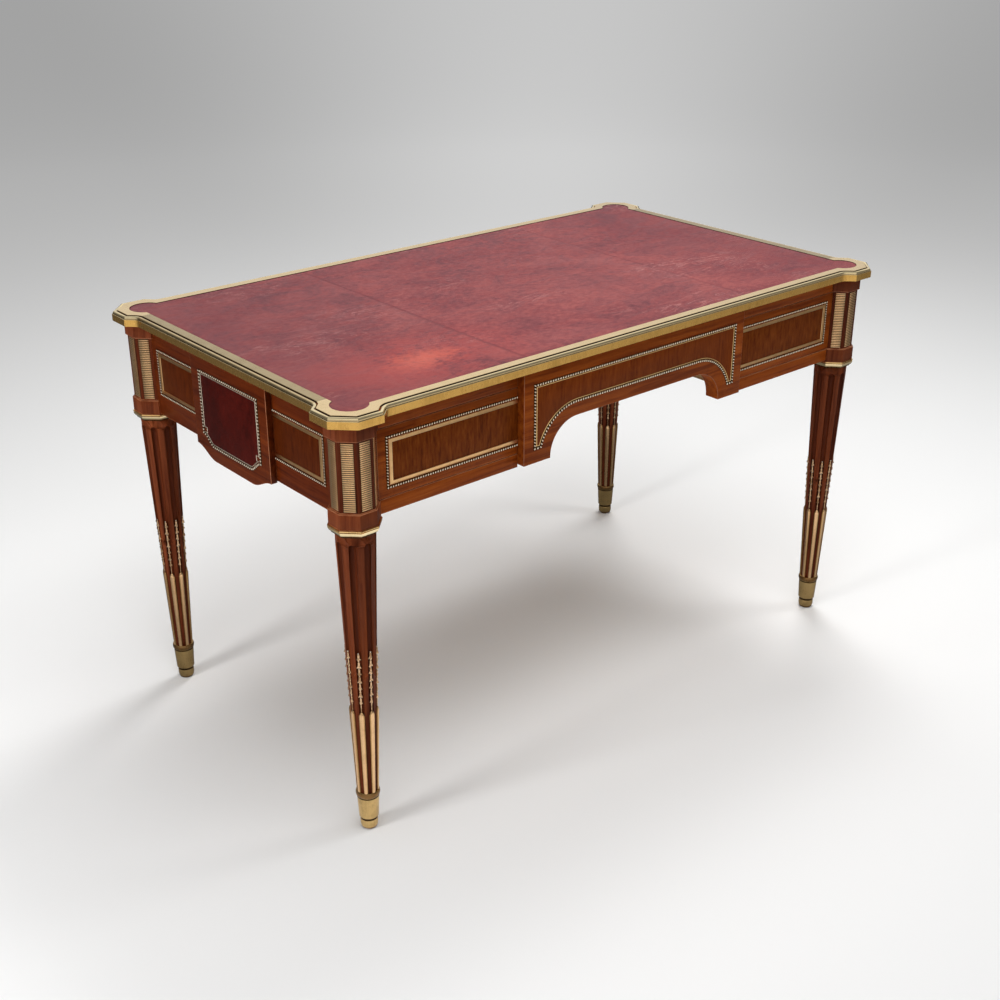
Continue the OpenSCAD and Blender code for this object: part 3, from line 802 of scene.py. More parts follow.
@dataclass(frozen=True)
class Brass(Finish):
    """Old gilt brass."""

    relief = (0.12, 0.0001)
    name: str
    bright: Colour
    dull: Colour
    tarnish: float
    gloss: float
    brushing: float = 0.3

    def wire(self, tree: Tree, shader: bpy.types.Node, place: Flow) -> None:
        """Links the brass and makes it a metal.

        Args:
            tree: The material's tree.
            shader: The material's shader.
            place: The object's coordinates.
        """
        made = tree.group(old_brass, {
            "Vector": place, "Bright": self.bright, "Dull": self.dull, "Tarnish": self.tarnish,
            "Brushing": self.brushing, "Gloss": self.gloss})
        self.spread(tree, shader, made)
        tree.feed(shader, {"Metallic": 1.0})


@dataclass(frozen=True)
class Leather(Finish):
    """Worn, waxed leather, with a bright worn patch and seams where they are wanted.

    The patch is its X, Y and radius, and a seam is its X and its darkness.
    """

    relief = (0.3, 0.0005)
    name: str
    light: Colour
    middle: Colour
    dark: Colour
    pale: Colour
    rubbing: float
    sheen: float
    gloss: float
    patch: tuple[float, float, float] | None = None
    patch_colour: Colour = (0.53, 0.118, 0.088)
    blush: Colour = (0.40, 0.072, 0.066)
    seams: tuple[tuple[float, float], ...] = ()

    def wire(self, tree: Tree, shader: bpy.types.Node, place: Flow) -> None:
        """Links the leather, its worn patch, its darker ends and the dark lines of its seams.

        Args:
            tree: The material's tree.
            shader: The material's shader.
            place: The object's coordinates.
        """
        made = tree.group(waxed_hide, {
            "Vector": place, "Light": self.light, "Middle": self.middle, "Dark": self.dark,
            "Pale": self.pale, "Gloss": self.gloss, "Rubbing": self.rubbing})
        self.spread(tree, shader, made)
        colour = made["Color"]
        along = tree.out("SeparateXYZ", {0: place})
        if self.patch:
            colour = tree.mix(tree.ramp(along.size(), 0.25, 0.60, 0, 0.38), colour, self.dark)
            colour = self.worn(tree, place, colour, made["Tone"])
        for seam, depth in self.seams:
            wander = (tree.noise(place, 5, 2) - 0.5) * 0.012
            away = (along + wander - seam).size()
            colour = tree.mix(tree.ramp(away, 0.006, 0.0008, 0, depth), colour, self.dark)
        tree.feed(shader, {"Base Color": colour, "Specular IOR Level": self.sheen})

    def worn(self, tree: Tree, place: Flow, colour: Flow, tone: Flow) -> Flow:
        """Mixes a wide red blush and a ragged bright core into the colour.

        Args:
            tree: The material's tree.
            place: The object's coordinates.
            colour: The leather's colour.
            tone: The tone of its blotches.

        Returns:
            The new colour.
        """
        x, y, radius = self.patch
        away = tree.vector("LENGTH", tree.stretched(place, (1, 1.5, 0), (-x, -y * 1.5, 0)))
        blush = tree.ramp(away, radius * 2.8, radius * 0.6) * tree.ramp(tone, 0.36, 0.56)
        colour = tree.mix(blush * 0.6, colour, self.blush)
        core = tree.ramp(away - tone * (radius * 3.4), -radius * 0.75, -radius * 1.65)
        return tree.mix(core, colour, self.patch_colour)


# The depth row is painted shade: darker tones for the end boards and tablets, for the shade on the ends.
MAHOGANY = {
    Grain.LENGTH: ((0.415, 0.098, 0.012), (0.280, 0.058, 0.0065), (0.168, 0.029, 0.0035)),
    Grain.DEPTH: ((0.140, 0.026, 0.004), (0.092, 0.015, 0.0025), (0.055, 0.008, 0.0015)),
    Grain.HEIGHT: ((0.218, 0.053, 0.017), (0.150, 0.034, 0.011), (0.095, 0.019, 0.006))}


def mahogany(grain: Grain, shift: float = 0.0) -> Wood:
    """Straight-grained mahogany, in the tone of the pieces whose grain runs in one direction; the end
    boards, whose grain runs in depth, get darker tones as painted shade.
    """
    return Wood(f"mahogany_{grain.name.lower()}_{round(shift * 10)}", *MAHOGANY[grain], grain, figure=0.12,
                shift=shift)


# Painted highlight: lighter, glossier wood on eased edges, for the light that the arrises catch.
ARRIS_HIGHLIGHT = Wood("mahogany_arris", (0.48, 0.19, 0.09), (0.36, 0.13, 0.055), (0.24, 0.07, 0.025), gloss=0.34,
             sheen=0.3)
# Painted shade: darker wood for the flutes, the wood between the rods and the recessed posts.
FLUTE_SHADE_WOOD = Wood("mahogany_painted_recess_shade", (0.135, 0.029, 0.008), (0.090, 0.017, 0.005), (0.056, 0.010, 0.003),
                  Grain.HEIGHT, figure=0.1, gloss=0.4)
FIGURED = Wood("figured_veneer", (0.240, 0.058, 0.0085), (0.165, 0.035, 0.004), (0.100, 0.019, 0.0025),
               Grain.HEIGHT, figure=0.1, flecks=1.0, lacquer=0.0, sheen=0.04)
# Painted shade: a darker copy of the figured veneer for the panels on the ends.
FIGURED_END_SHADED = Wood("figured_veneer_end", (0.105, 0.022, 0.003), (0.070, 0.0125, 0.002),
                   (0.043, 0.007, 0.0013), Grain.HEIGHT, figure=0.1, flecks=0.7, lacquer=0.0, sheen=0.03,
                   shift=0.6)
FIGURED_CENTRE = Wood("figured_veneer_centre", (0.262, 0.058, 0.0085), (0.182, 0.036, 0.0045),
                      (0.112, 0.020, 0.003), Grain.HEIGHT, figure=0.1, flecks=0.6, lacquer=0.0, sheen=0.04,
                      shift=0.3)
OAK_TONES = ((0.50, 0.34, 0.19), (0.38, 0.24, 0.12), (0.24, 0.14, 0.07))
OAK = Wood("oak", *OAK_TONES, figure=0.3, gloss=0.55, lacquer=0.0)
OAK_DEPTH = Wood("oak_depth", *OAK_TONES, Grain.DEPTH, figure=0.3, gloss=0.55, lacquer=0.0)
BRASS = Brass("old_brass", (0.92, 0.61, 0.26), (0.56, 0.34, 0.13), 0.4, 0.2)
ROD_BRASS = Brass("rod_brass", (0.90, 0.57, 0.30), (0.58, 0.34, 0.15), 0.35, 0.18, 0.25)
# Painted shade: darker brass for the rods' flanks.
ROD_FLANK_SHADE = Brass("rod_shaded_flanks", (0.60, 0.36, 0.15), (0.34, 0.18, 0.07), 0.45, 0.22, 0.25)
CUP_BRASS = Brass("cup_brass", (0.68, 0.46, 0.19), (0.38, 0.24, 0.09), 0.5, 0.16, 0.9)
# Painted shade: near-black brass for the rods' outer flanks and the cups' lip and toe.
SHADE_BRASS = Brass("brass_painted_shade", (0.28, 0.15, 0.055), (0.15, 0.075, 0.025), 0.5, 0.28)
RIM_BRASS = Brass("rim_brass", (1.0, 0.75, 0.40), (0.80, 0.55, 0.24), 0.3, 0.18, 0.25)
# Painted shade: darker copies of the band and bead brass for the end lengths, for their duller reflection;
# the end bead is still paler, a painted highlight.
RIM_END_SHADED = Brass("rim_brass_ends_painted_shade", (0.56, 0.42, 0.21), (0.40, 0.28, 0.13), 0.4, 0.2, 0.35)
RIM_END_BEAD_LIGHT_AND_SHADE = Brass("rim_bead_ends", (0.74, 0.56, 0.30), (0.50, 0.36, 0.17), 0.3, 0.16, 0.3)
FASCIA_BRASS = Brass("fascia_brass", (0.85, 0.49, 0.13), (0.55, 0.30, 0.065), 0.4, 0.24, 0.9)
# Painted highlight: pale brass for the rim's round bead and the rings' round band.
RIM_BEAD_HIGHLIGHT = Brass("rim_bead_painted_highlight", (1.0, 0.82, 0.48), (0.86, 0.60, 0.27), 0.2, 0.12, 0.2)
PATINA = Brass("brass_patina", (0.08, 0.04, 0.013), (0.035, 0.019, 0.009), 0.8, 0.5)
REED_BRASS = Brass("reed_brass", (1.0, 0.67, 0.36), (0.66, 0.39, 0.18), 0.4, 0.28)
FRAME_BRASS = Brass("frame_brass", (0.78, 0.48, 0.22), (0.48, 0.27, 0.11), 0.4, 0.3)
BEAD_BRASS = Brass("bead_brass", (1.0, 0.87, 0.68), (0.86, 0.65, 0.45), 0.2, 0.25)
HUSK_BRASS = Brass("husk_brass", (0.80, 0.52, 0.30), (0.30, 0.15, 0.06), 0.9, 0.2, 0.2)
DESK_LEATHER = Leather(
    "desk_leather", (0.345, 0.099, 0.094), (0.238, 0.058, 0.062), (0.135, 0.031, 0.040), (0.52, 0.24, 0.22),
    rubbing=0.8, sheen=0.1, gloss=0.42, patch=(-0.376, -0.222, 0.09), seams=((-0.25, 0.42), (0.29, 0.25)))
TABLET_LEATHER = Leather(
    "tablet_leather", (0.078, 0.0075, 0.0045), (0.050, 0.0045, 0.003), (0.028, 0.003, 0.002),
    (0.10, 0.02, 0.012), rubbing=0.25, sheen=0.03, gloss=0.4)


# The plan


@dataclass(frozen=True)
class Plan:
    """Main places of the desk in millimetres, read from the frame."""

    leg_x: float
    leg_y: float
    rim: float
    under: float
    board: float
    frieze_low: float
    open_low: float
    open_top: float
    front: float
    end: float
    post_x: float
    post_y: float
    block_half: float
    block_front: float
    tablet_half: float
    tablet_end: float

    @classmethod
    def from_frame(cls) -> "Plan":
        """Measures the frame's nodes.

        Returns:
            The plan.
        """
        leg, top, rail, drawer, block, tablet, end_board = map(box_mm, (
            "leg_front_right", "top_panel", "bottom_rail_right", "drawer_right_front",
            "drawer_centre_front", "end_tablet_left", "end_frieze_left"))
        gap = drawer[0].z - rail[1].z
        return cls(
            leg_x=(leg[0].x + leg[1].x) / 2, leg_y=-(leg[0].y + leg[1].y) / 2,
            rim=box_mm("brass_edge_front")[1].z, under=top[0].z, board=top[1].z, frieze_low=rail[0].z,
            open_low=rail[1].z, open_top=drawer[1].z + gap, front=-rail[0].y, end=-end_board[0].x,
            post_x=drawer[1].x + gap, post_y=end_board[1].y, block_half=block[1].x,
            block_front=-block[0].y, tablet_half=tablet[1].y, tablet_end=-tablet[0].x)

    def legs(self) -> list[tuple[str, Matrix, float]]:
        """Each leg's name, the place of its axis and the way to its outer corner in degrees."""
        return [(f"{depth}_{side}", at(sx * self.leg_x, sy * self.leg_y), math.degrees(math.atan2(sy, sx)))
                for sy, depth in DEPTHS for sx, side in SIDES]


# The top


@dataclass
class Rim:
    """The moulded brass edge: a flat band, a round bead between two quirks, and an upright fascia."""

    plan: Plan
    lobe: float = 56.0
    cove: float = 6.0
    ear: float = 30.0
    band: float = 26.0
    core_in: float = 3.0
    chamfer: float = 0.6
    fascia_top: float = 12.6
    quirk: float = 0.8
    groove: float = 0.6
    bead_w: float = 6.6
    bead_h: float = 3.0
    bead_arcs: int = 8
    cove_steps: int = 4
    ear_steps: int = 14

    def __post_init__(self) -> None:
        """Works out how far the straight edges lie outside the leg centres."""
        self.reach = -box_mm("brass_edge_front")[0].y - self.plan.leg_y
        self.joint = self.lobe * math.sqrt(2) - self.reach

    def mirrored(self, corner: Sequence[Point]) -> list[Point]:
        """Draws a whole outline from one of its corners.

        Args:
            corner: The corner's points, measured from the leg centre at +X +Y.

        Returns:
            The outline's points.
        """
        x, y = self.plan.leg_x, self.plan.leg_y
        right = [(x + a, y + b) for a, b in corner] + [(x + a, -y - b) for a, b in reversed(corner)]
        return right + [(-a, -b) for a, b in right]

    def points(self, inset_by: float) -> list[Point]:
        """The rim's outline, with a small cove where each eight-sided lobe meets the straight edges.

        Args:
            inset_by: Distance inside the outermost outline.

        Returns:
            The outline's points.
        """
        slope = math.tan(math.radians(HALF_SIDE))
        r, e = self.lobe - inset_by, self.reach - inset_by
        h, k = r * slope, e - r * math.sqrt(2)
        run = self.cove + inset_by * slope
        bend = run / slope
        first = arc((k - run, e + bend), bend, -90, -45, self.cove_steps)
        last = [(y, x) for x, y in reversed(first)]
        return self.mirrored(first + [(-h, r), (h, r), (r, h), (r, -h)] + last)

    def leather_points(self, grow: float = 0.0) -> list[Point]:
        """The leather's outline: straight sides and a round ear at each corner.

        Args:
            grow: Distance in millimetres by which it grows.

        Returns:
            The outline's points.
        """
        out, r = self.reach - self.band + grow, self.ear + grow
        start = math.degrees(math.acos(-math.sqrt(r * r - out * out) / r))
        return self.mirrored(arc((0, 0), r, start, 90 - start, self.ear_steps))

    def slab(self, name: str, points: Sequence[Point], low: float, high: float) -> Object:
        """A flat solid between two heights, from an outline."""
        return raised(outline(name, points, low), [(0, high - low)])

    def steps(self) -> list[Step]:
        """Width in, rise and slot of each step of the moulding, from the fascia's foot upwards.

        Returns:
            The steps in order.
        """
        # The bead slot takes the pale brass, a painted highlight.
        metal, patina, bead, fascia = range(4)
        foot = self.fascia_top + 2.6
        top = self.plan.rim - self.plan.under
        turns = [math.pi * (1 - i / self.bead_arcs) for i in range(self.bead_arcs + 1)]
        ring = [(self.bead_w / 2 * math.cos(t), self.bead_h * math.sin(t)) for t in turns]
        return [
            (0, self.fascia_top - self.chamfer, fascia), (0.35, 0.45, bead), (0.35, 0.1, bead),
            (0.15, -0.7, patina), (self.quirk, 0, patina), (0.15, foot - self.fascia_top + 0.15, metal),
            *((b[0] - a[0], b[1] - a[1], bead) for a, b in zip(ring, ring[1:])),
            (0.15, -self.groove, patina), (self.quirk, 0, patina),
            (0.15, top - 0.5 - foot + self.groove, patina), (0.5, 0.5, metal)]

    def whole(self) -> Object:
        """The complete ring of brass, before it is cut into lengths.

        Returns:
            A closed mesh.
        """
        p = self.plan
        low = p.under + self.chamfer
        obj = dressed(outline("rim", self.points(0), low), RIM_BRASS, PATINA, RIM_BEAD_HIGHLIGHT, FASCIA_BRASS)
        raised(obj, self.steps())
        with editing(obj, lambda f: f.normal.z < -LEVEL and abs(f.center.z - low * MM) < MERGE):
            draw_in(self.chamfer, self.chamfer)
        core = dressed(self.slab("core", self.points(self.core_in), p.under - 5, p.board), RIM_BRASS)
        cut_out(obj, core)
        hole = dressed(self.slab("hole", self.leather_points(), p.board - 3, p.rim + 5), PATINA)
        return tidy(cut_out(obj, hole))

    def build(self) -> None:
        """Cuts the ring into four lengths and four corners, and gives the end lengths darker brass as
        painted shade.
        """
        ring = self.whole()
        x, y = self.plan.leg_x - self.joint, self.plan.leg_y - self.joint
        for sy, depth in DEPTHS:
            self.length(ring, f"rim_{depth}", f"brass_edge_{depth}",
                        [(-x, 0, -1, 0), (x, 0, 1, 0), (0, 0, 0, -sy)])
            for sx, side in SIDES:
                self.length(ring, f"rim_corner_{depth}_{side}", f"brass_corner_{depth}_{side}",
                            [(sx * x, 0, -sx, 0), (0, sy * y, 0, -sy)])
        for sx, side in SIDES:
            obj = self.length(ring, f"rim_{side}", f"brass_edge_{side}",
                              [(0, -y, 0, -1), (0, y, 0, 1), (0, 0, -sx, 0)])
            # Painted shade on the end lengths' band and bead.
            obj.data.materials[0] = RIM_END_SHADED.material()
            obj.data.materials[2] = RIM_END_BEAD_LIGHT_AND_SHADE.material()
        bpy.data.objects.remove(ring)

    def length(self, ring: Object, name: str, node: str, planes: Iterable[Step]) -> Object:
        """Cuts one length from the ring and puts it in place of its node.

        Args:
            ring: The complete ring.
            name: Name of the length.
            node: The node that it replaces.
            planes: X, Y and the normal's X and Y of each upright cut.

        Returns:
            The length.
        """
        obj = twin(ring, name)
        for plane in planes:
            keep_behind(obj, *plane)
        return fitted(smooth(obj, 25), node)


@dataclass
class LeatherTop:
    """The leather surface: pared edges that dip into the brass, and two pressed seams."""

    rim: Rim
    pared: float = 3.0
    dip: float = 0.7
    seam_x: tuple[float, ...] = (-250.0, 290.0)
    seam_w: float = 1.6
    seam_dip: float = 0.35
    seam_past: float = 25.0

    def build(self) -> None:
        """Models the leather and puts it in place of its node."""
        plan, top = self.rim.plan, box_mm("leather_top")[1].z
        low = plan.board + 0.1
        obj = outline("leather_surface", self.rim.leather_points(-0.15), low)
        raised(obj, [(0, top - low - self.dip), (self.pared * 0.35, self.dip * 0.6),
                     (self.pared * 0.65, self.dip * 0.4)])
        for x in self.seam_x:
            for offset in (-self.seam_w, 0, self.seam_w):
                with editing(obj):
                    bpy.ops.mesh.bisect(plane_co=((x + offset) * MM, 0, 0), plane_no=(1, 0, 0))
            for vertex in obj.data.vertices:
                co = vertex.co / MM
                if abs(co.x - x) < 0.001 and abs(co.y) < plan.leg_y + self.seam_past and co.z > top - 0.1:
                    vertex.co.z -= self.seam_dip * MM
        fitted(dressed(smooth(obj, 30), DESK_LEATHER), "leather_top", slot="leather")


# Softened woodwork


@dataclass
class Joinery:
    """Wooden boards, each a copy of its node with eased edges, which on mahogany boards get a painted
    highlight.
    """

    ease: float = 0.8

    def board(self, node: str, finish: Wood, body: str = "carcass", slot: str = "mahogany",
              ease: float | None = None) -> Object:
        """Eases a node's edges, gives a mahogany board's eased edges a painted highlight, and puts the copy
        in its place.

        Args:
            node: The node to stand for.
            finish: The wood of its faces.
            body: The body that it moves with.
            slot: The kind of material; a mahogany board's eased edges get the lighter arris wood, a painted
                highlight.
            ease: Width of the eased edges, or None for the usual one.

        Returns:
            The new board.
        """
        obj = tidy(dressed(twin(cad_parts[node], node + "_board"), finish, ARRIS_HIGHLIGHT), NODE_MERGE)
        with editing(obj):
            bpy.ops.mesh.dissolve_limited(angle_limit=math.radians(0.5))
        # Slot 1 on mahogany is the painted highlight along the eased edges.
        bevelled(obj, self.ease if ease is None else ease, 2, int(slot == "mahogany"))
        return fitted(obj, node, body=body, slot=slot)

    def build(self) -> None:
        """Makes the frieze, the rails, the blocks and the drawers, and dresses the hidden nodes."""
        for node in ("back_frieze", "front_top_rail", "bottom_rail_left", "bottom_rail_right"):
            self.board(node, mahogany(Grain.LENGTH))
        self.board("back_centre_block", mahogany(Grain.LENGTH, 0.4))
        for _, side in SIDES:
            # The ends' darker depth tone is painted shade.
            self.board(f"end_frieze_{side}", mahogany(Grain.DEPTH))
            self.board(f"end_tablet_{side}", mahogany(Grain.DEPTH, 0.4))
            self.board(f"drawer_{side}_front", mahogany(Grain.LENGTH, 0.2), f"drawer_{side}")
            self.board(f"divider_{side}", OAK_DEPTH, slot="oak", ease=0.5)
        self.board("drawer_centre_front", mahogany(Grain.LENGTH, 0.4), "drawer_centre")
        for drawer in ("drawer_left", "drawer_right", "drawer_centre"):
            self.board(drawer + "_sides", OAK_DEPTH, drawer, "oak", 0.6)
            self.board(drawer + "_back", OAK, drawer, "oak", 0.6)
            self.board(drawer + "_bottom", OAK, drawer, "oak", 0.3)
        for node, finish in (("top_panel", mahogany(Grain.LENGTH)), ("drawer_runners", OAK_DEPTH),
                             ("drawer_kickers", OAK_DEPTH), ("glue_blocks", OAK)):
            dressed(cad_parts[node], finish)


# Legs


@dataclass
class Legs:
    """The four legs with their rings, cups, rods and husks."""

    plan: Plan
    sides: int = 48
    flutes: int = 8
    leg_r_foot: float = 16.8
    leg_r_top: float = 32.5
    shaft_top: float = 565.0
    neck: float = 13.0
    flute_r_foot: float = 2.9
    flute_r_top: float = 6.2
    flute_drop: float = 12.0
    flute_lip: float = 0.9
    rod_top: float = 243.0
    rod_point: float = 9.0
    rod_sides: int = 14
    rod_play: float = 0.05
    rod_squash: tuple[float, float] = (0.78, 1.28)
    rod_shaded_flanks: tuple[float, float] = (0.45, 0.8)
    husk_low: float = 259.0
    husk_len: float = 98.0
    husks: int = 7
    husk_fill: float = 0.98
    husk_least: float = 0.8
    eased: float = 1.1

    def __post_init__(self) -> None:
        """Works out the taper of the shaft."""
        self.cup_top = box_mm("foot_cup_front_left")[1].z
        self.slope = (self.leg_r_top - self.leg_r_foot) / (self.shaft_top - self.cup_top)
        self.tilt = math.atan(self.slope)
        self.flute_len = self.along(self.shaft_top - self.flute_drop - self.flute_r_top)

    def along(self, height: float) -> float:
        """Distance along a flute at a height above the floor."""
        return (height - self.cup_top) / math.cos(self.tilt)

    def flute_places(self) -> list[Matrix]:
        """The place of each flute on a leg, with Z up along it and X outwards."""
        start = at(self.leg_r_foot, 0, self.cup_top) @ Matrix.Rotation(self.tilt, 4, "Y")
        return [about("Z", 360 * i / self.flutes) @ start for i in range(self.flutes)]

    def flute_r(self, along: float) -> float:
        """Radius of a flute at a distance along it."""
        return self.flute_r_foot + (self.flute_r_top - self.flute_r_foot) * along / self.flute_len

    def build(self) -> None:
        """Makes the legs and all that is mounted on them."""
        self.shafts()
        self.rings()
        self.cups()
        self.rods()
        self.on_legs("husk_chains_chased", self.chain(), self.flute_places(), "husk_chains")

    def shafts(self) -> None:
        """Makes the wooden legs."""
        for name, place, _ in self.plan.legs():
            node = "leg_" + name
            obj = twin(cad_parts[node], node + "_shaft")
            tidy(dressed(obj, mahogany(Grain.HEIGHT), ARRIS_HIGHLIGHT, FLUTE_SHADE_WOOD), NODE_MERGE)
            self.paint_recess_shade(obj, place)
            self.ease(obj)
            fitted(smooth(obj, 28), node, slot="mahogany")

    def paint_recess_shade(self, obj: Object, place: Matrix) -> None:
        """Paints shade in the recesses with the darker wood: the flutes, the wood between the rods and the
        post between the panels.

        Args:
            obj: A leg.
            place: The place of its axis.
        """
        low, high = self.plan.open_low + 0.5, self.plan.open_top - 0.5
        for polygon in obj.data.polygons:
            centre = place.inverted() @ polygon.center / MM
            full = self.leg_r_foot + (centre.z - self.cup_top) * self.slope
            in_flute = centre.z < self.shaft_top - 2 and centre.xy.length < full - self.flute_lip
            on_post = low < centre.z < high and abs(polygon.normal.z) < 0.5
            if in_flute or centre.z < self.rod_top or on_post:
                polygon.material_index = 2

    def ease(self, obj: Object) -> None:
        """Eases the sharp level edges of the blocks above the shaft and gives them a painted highlight.

        Args:
            obj: A leg.
        """
        take(obj)
        bpy.ops.object.mode_set(mode="EDIT")
        bpy.ops.mesh.select_mode(type="EDGE")
        bpy.ops.mesh.select_all(action="DESELECT")
        bpy.ops.mesh.edges_select_sharp(sharpness=math.radians(30))
        bpy.ops.object.mode_set(mode="OBJECT")
        mesh = obj.data
        for edge in mesh.edges:
            low, high = sorted(mesh.vertices[i].co.z / MM for i in edge.vertices)
            if low < self.shaft_top + self.neck or high - low > 1:
                edge.select = False
        bpy.ops.object.mode_set(mode="EDIT")
        # Material 1 is the painted highlight on the eased edges.
        bpy.ops.mesh.bevel(offset=self.eased * MM, segments=2, material=1)
        bpy.ops.object.mode_set(mode="OBJECT")

    def on_legs(self, name: str, piece: Object, spots: Sequence[Matrix], node: str) -> None:
        """Copies a piece to the same spots on all four legs and puts the copies in place of a node.

        Args:
            name: Name of the joined copies.
            piece: One piece, which is then deleted.
            spots: Its places on a leg.
            node: The node that the copies replace.
        """
        copies = [twin(piece, name, place @ spot) for _, place, _ in self.plan.legs() for spot in spots]
        bpy.data.objects.remove(piece)
        fitted(joined(name, copies), node)

    def rings(self) -> None:
        """Makes the moulded eight-sided rings under the collars."""
        box = box_mm("collar_rings")
        low, outer, h = box[0].z, box[1].x - self.plan.leg_x, box[1].z - box[0].z
        profile = [(33.4, 0), (34.6, 0.2), (35.2, 1.0), (35.0, 1.8), (35.6, 2.3), (37.4, 4.0), (39.0, 6.4),
                   (outer - 0.6, 8.8), (outer - 0.5, 10.2), (outer - 1.6, 10.7), (outer - 1.6, 11.4),
                   (outer - 0.2, 11.9), (outer, 12.8), (outer - 0.5, h - 0.2), (outer - 1.4, h)]
        to_corner = 1 / math.cos(math.radians(HALF_SIDE))
        ring = turned("ring", [(r * to_corner, low + z) for r, z in profile], 8, HALF_SIDE)
        # Slot 2 is a painted highlight on the ring's round band; slot 1 is patina in the coves.
        banded(dressed(ring, BRASS, PATINA, RIM_BEAD_HIGHLIGHT), low, (1, 0.2, 2.2), (2, 5.0, 10.3), (1, 10.6, 11.6))
        self.on_legs("collar_mouldings", smooth(ring, 32), [Matrix()], "collar_rings")

    def cups(self) -> None:
        """Makes the foot cups, each turned with a ringed mouth, a tapered body and a round toe, with painted
        shade on the lip and toe.
        """
        top = self.cup_top
        profile = [(9.5, 0), (11.8, 0.6), (13.4, 2.2), (14.5, 5.0), (15.2, 9.5), (15.2, 16.5), (14.8, 18.8),
                   (14.3, 20.0), (14.2, 22.6), (14.8, 23.4), (16.2, 23.8), (16.9, 24.5), (17.0, 26.2),
                   (18.9, top - 14.0), (18.9, top - 13.4), (18.2, top - 12.9), (18.2, top - 11.9),
                   (18.9, top - 11.3), (20.0, top - 9.6), (20.6, top - 7.0), (20.7, top - 4.6),
                   (20.3, top - 2.2), (19.4, top - 0.6), (18.2, top), (16.9, top - 0.1)]
        cup = dressed(turned("cup", profile, self.sides), CUP_BRASS, PATINA, SHADE_BRASS)
        # Slot 2 is painted shade on the toe's foot and on the lip; slot 1 is patina in the grooves.
        banded(cup, 0, (2, -1, 4), (1, 19.4, 23.5), (1, top - 13.3, top - 11.6), (2, top - 9, top - 1))
        smooth(cup, 45)
        for name, place, _ in self.plan.legs():
            fitted(twin(cup, f"foot_cup_{name}_turned", place), f"foot_cup_{name}")
        bpy.data.objects.remove(cup)

    def rods(self) -> None:
        """Makes the flattened rods that fill the lower flutes, with pointed ends and painted shade on their
        flanks.
        """
        end = self.along(self.rod_top)
        foot, head = self.flute_r(0) - self.rod_play, self.flute_r(end) - self.rod_play
        point = self.rod_point
        profile = [(foot, 0), (head, end - point), (head * 0.93, end - point * 0.7),
                   (head * 0.6, end - point * 0.25), (head * 0.12, end)]
        rod = dressed(turned("rod", profile, self.rod_sides), ROD_BRASS, ROD_FLANK_SHADE, SHADE_BRASS)
        # Painted shade: faces turned further sideways get darker brass, so each rod looks rounded.
        for polygon in rod.data.polygons:
            polygon.material_index = sum(abs(polygon.normal.y) > flank for flank in self.rod_shaded_flanks)
        rod.data.transform(Matrix.Diagonal((*self.rod_squash, 1, 1)))
        self.on_legs("flute_rods_pointed", smooth(rod, 50), self.flute_places(), "flute_rods")

    def husk(self) -> Object:
        """One bell-shaped husk of unit radius with three petals, its mouth down and its tip up.

        Returns:
            The husk on the Z axis.
        """
        sides, petals, flare, spread, droop = 12, 3, 1.4, 0.3, 0.45
        profile = [(0.5, -0.2), (0.86, -0.55), (1.0, 0.0), (0.8, 0.5), (0.55, 1.1), (0.5, 1.7), (0.6, 2.3),
                   (0.45, 2.9), (0.16, 3.5)]
        obj = turned("husk", profile, sides)
        for vertex in obj.data.vertices:
            wave = math.cos(petals * math.atan2(vertex.co.y, vertex.co.x))
            low = 1 - min(1.0, max(0.0, vertex.co.z / MM / flare))
            vertex.co.xy *= 1 + spread * wave * low
            vertex.co.z -= droop * MM * wave * low
        return smooth(dressed(obj, HUSK_BRASS), 50)

    def chain(self) -> Object:
        """One chain of husks and beads on a thin stem, smaller towards its lower end.

        Returns:
            The chain, with Z up along its flute.
        """
        start = self.along(self.husk_low)
        step = self.husk_len / self.husks
        r = self.flute_r(start)
        sink = r * (1 - self.husk_fill)
        flat = Matrix.Diagonal((0.62, 0.9, 1, 1))
        husk_at, bead_at, tall = 0.16, 0.82, 0.21
        husk = self.husk()
        bead = turned("husk_bead", [(0.3, 0), (1.2, 0.5), (1.6, 1.4), (1.2, 2.3), (0.3, 2.8)], 8)
        smooth(dressed(bead, BEAD_BRASS))
        pieces = []
        for i in range(self.husks):
            size = r * self.husk_fill * (self.husk_least + (1 - self.husk_least) * i / self.husks)
            place = at(-sink, 0, start + (i + husk_at) * step) @ flat @ about("Z", 60 * (i % 2))
            pieces.append(twin(husk, "husk_part", place @ Matrix.Diagonal((size, size, step * tall, 1))))
            pieces.append(twin(bead, "bead_part", at(-sink, 0, start + (i + bead_at) * step)))
        bpy.data.objects.remove(husk)
        bpy.data.objects.remove(bead)
        tip = start + self.husk_len
        stem = turned("stem", [(0.6, start - 15.5), (0.9, start - 14), (0.9, tip - 6), (0.4, tip - 3)], 8)
        stem.data.transform(at(-sink, 0))
        return joined("chain", [*pieces, dressed(stem, HUSK_BRASS)])


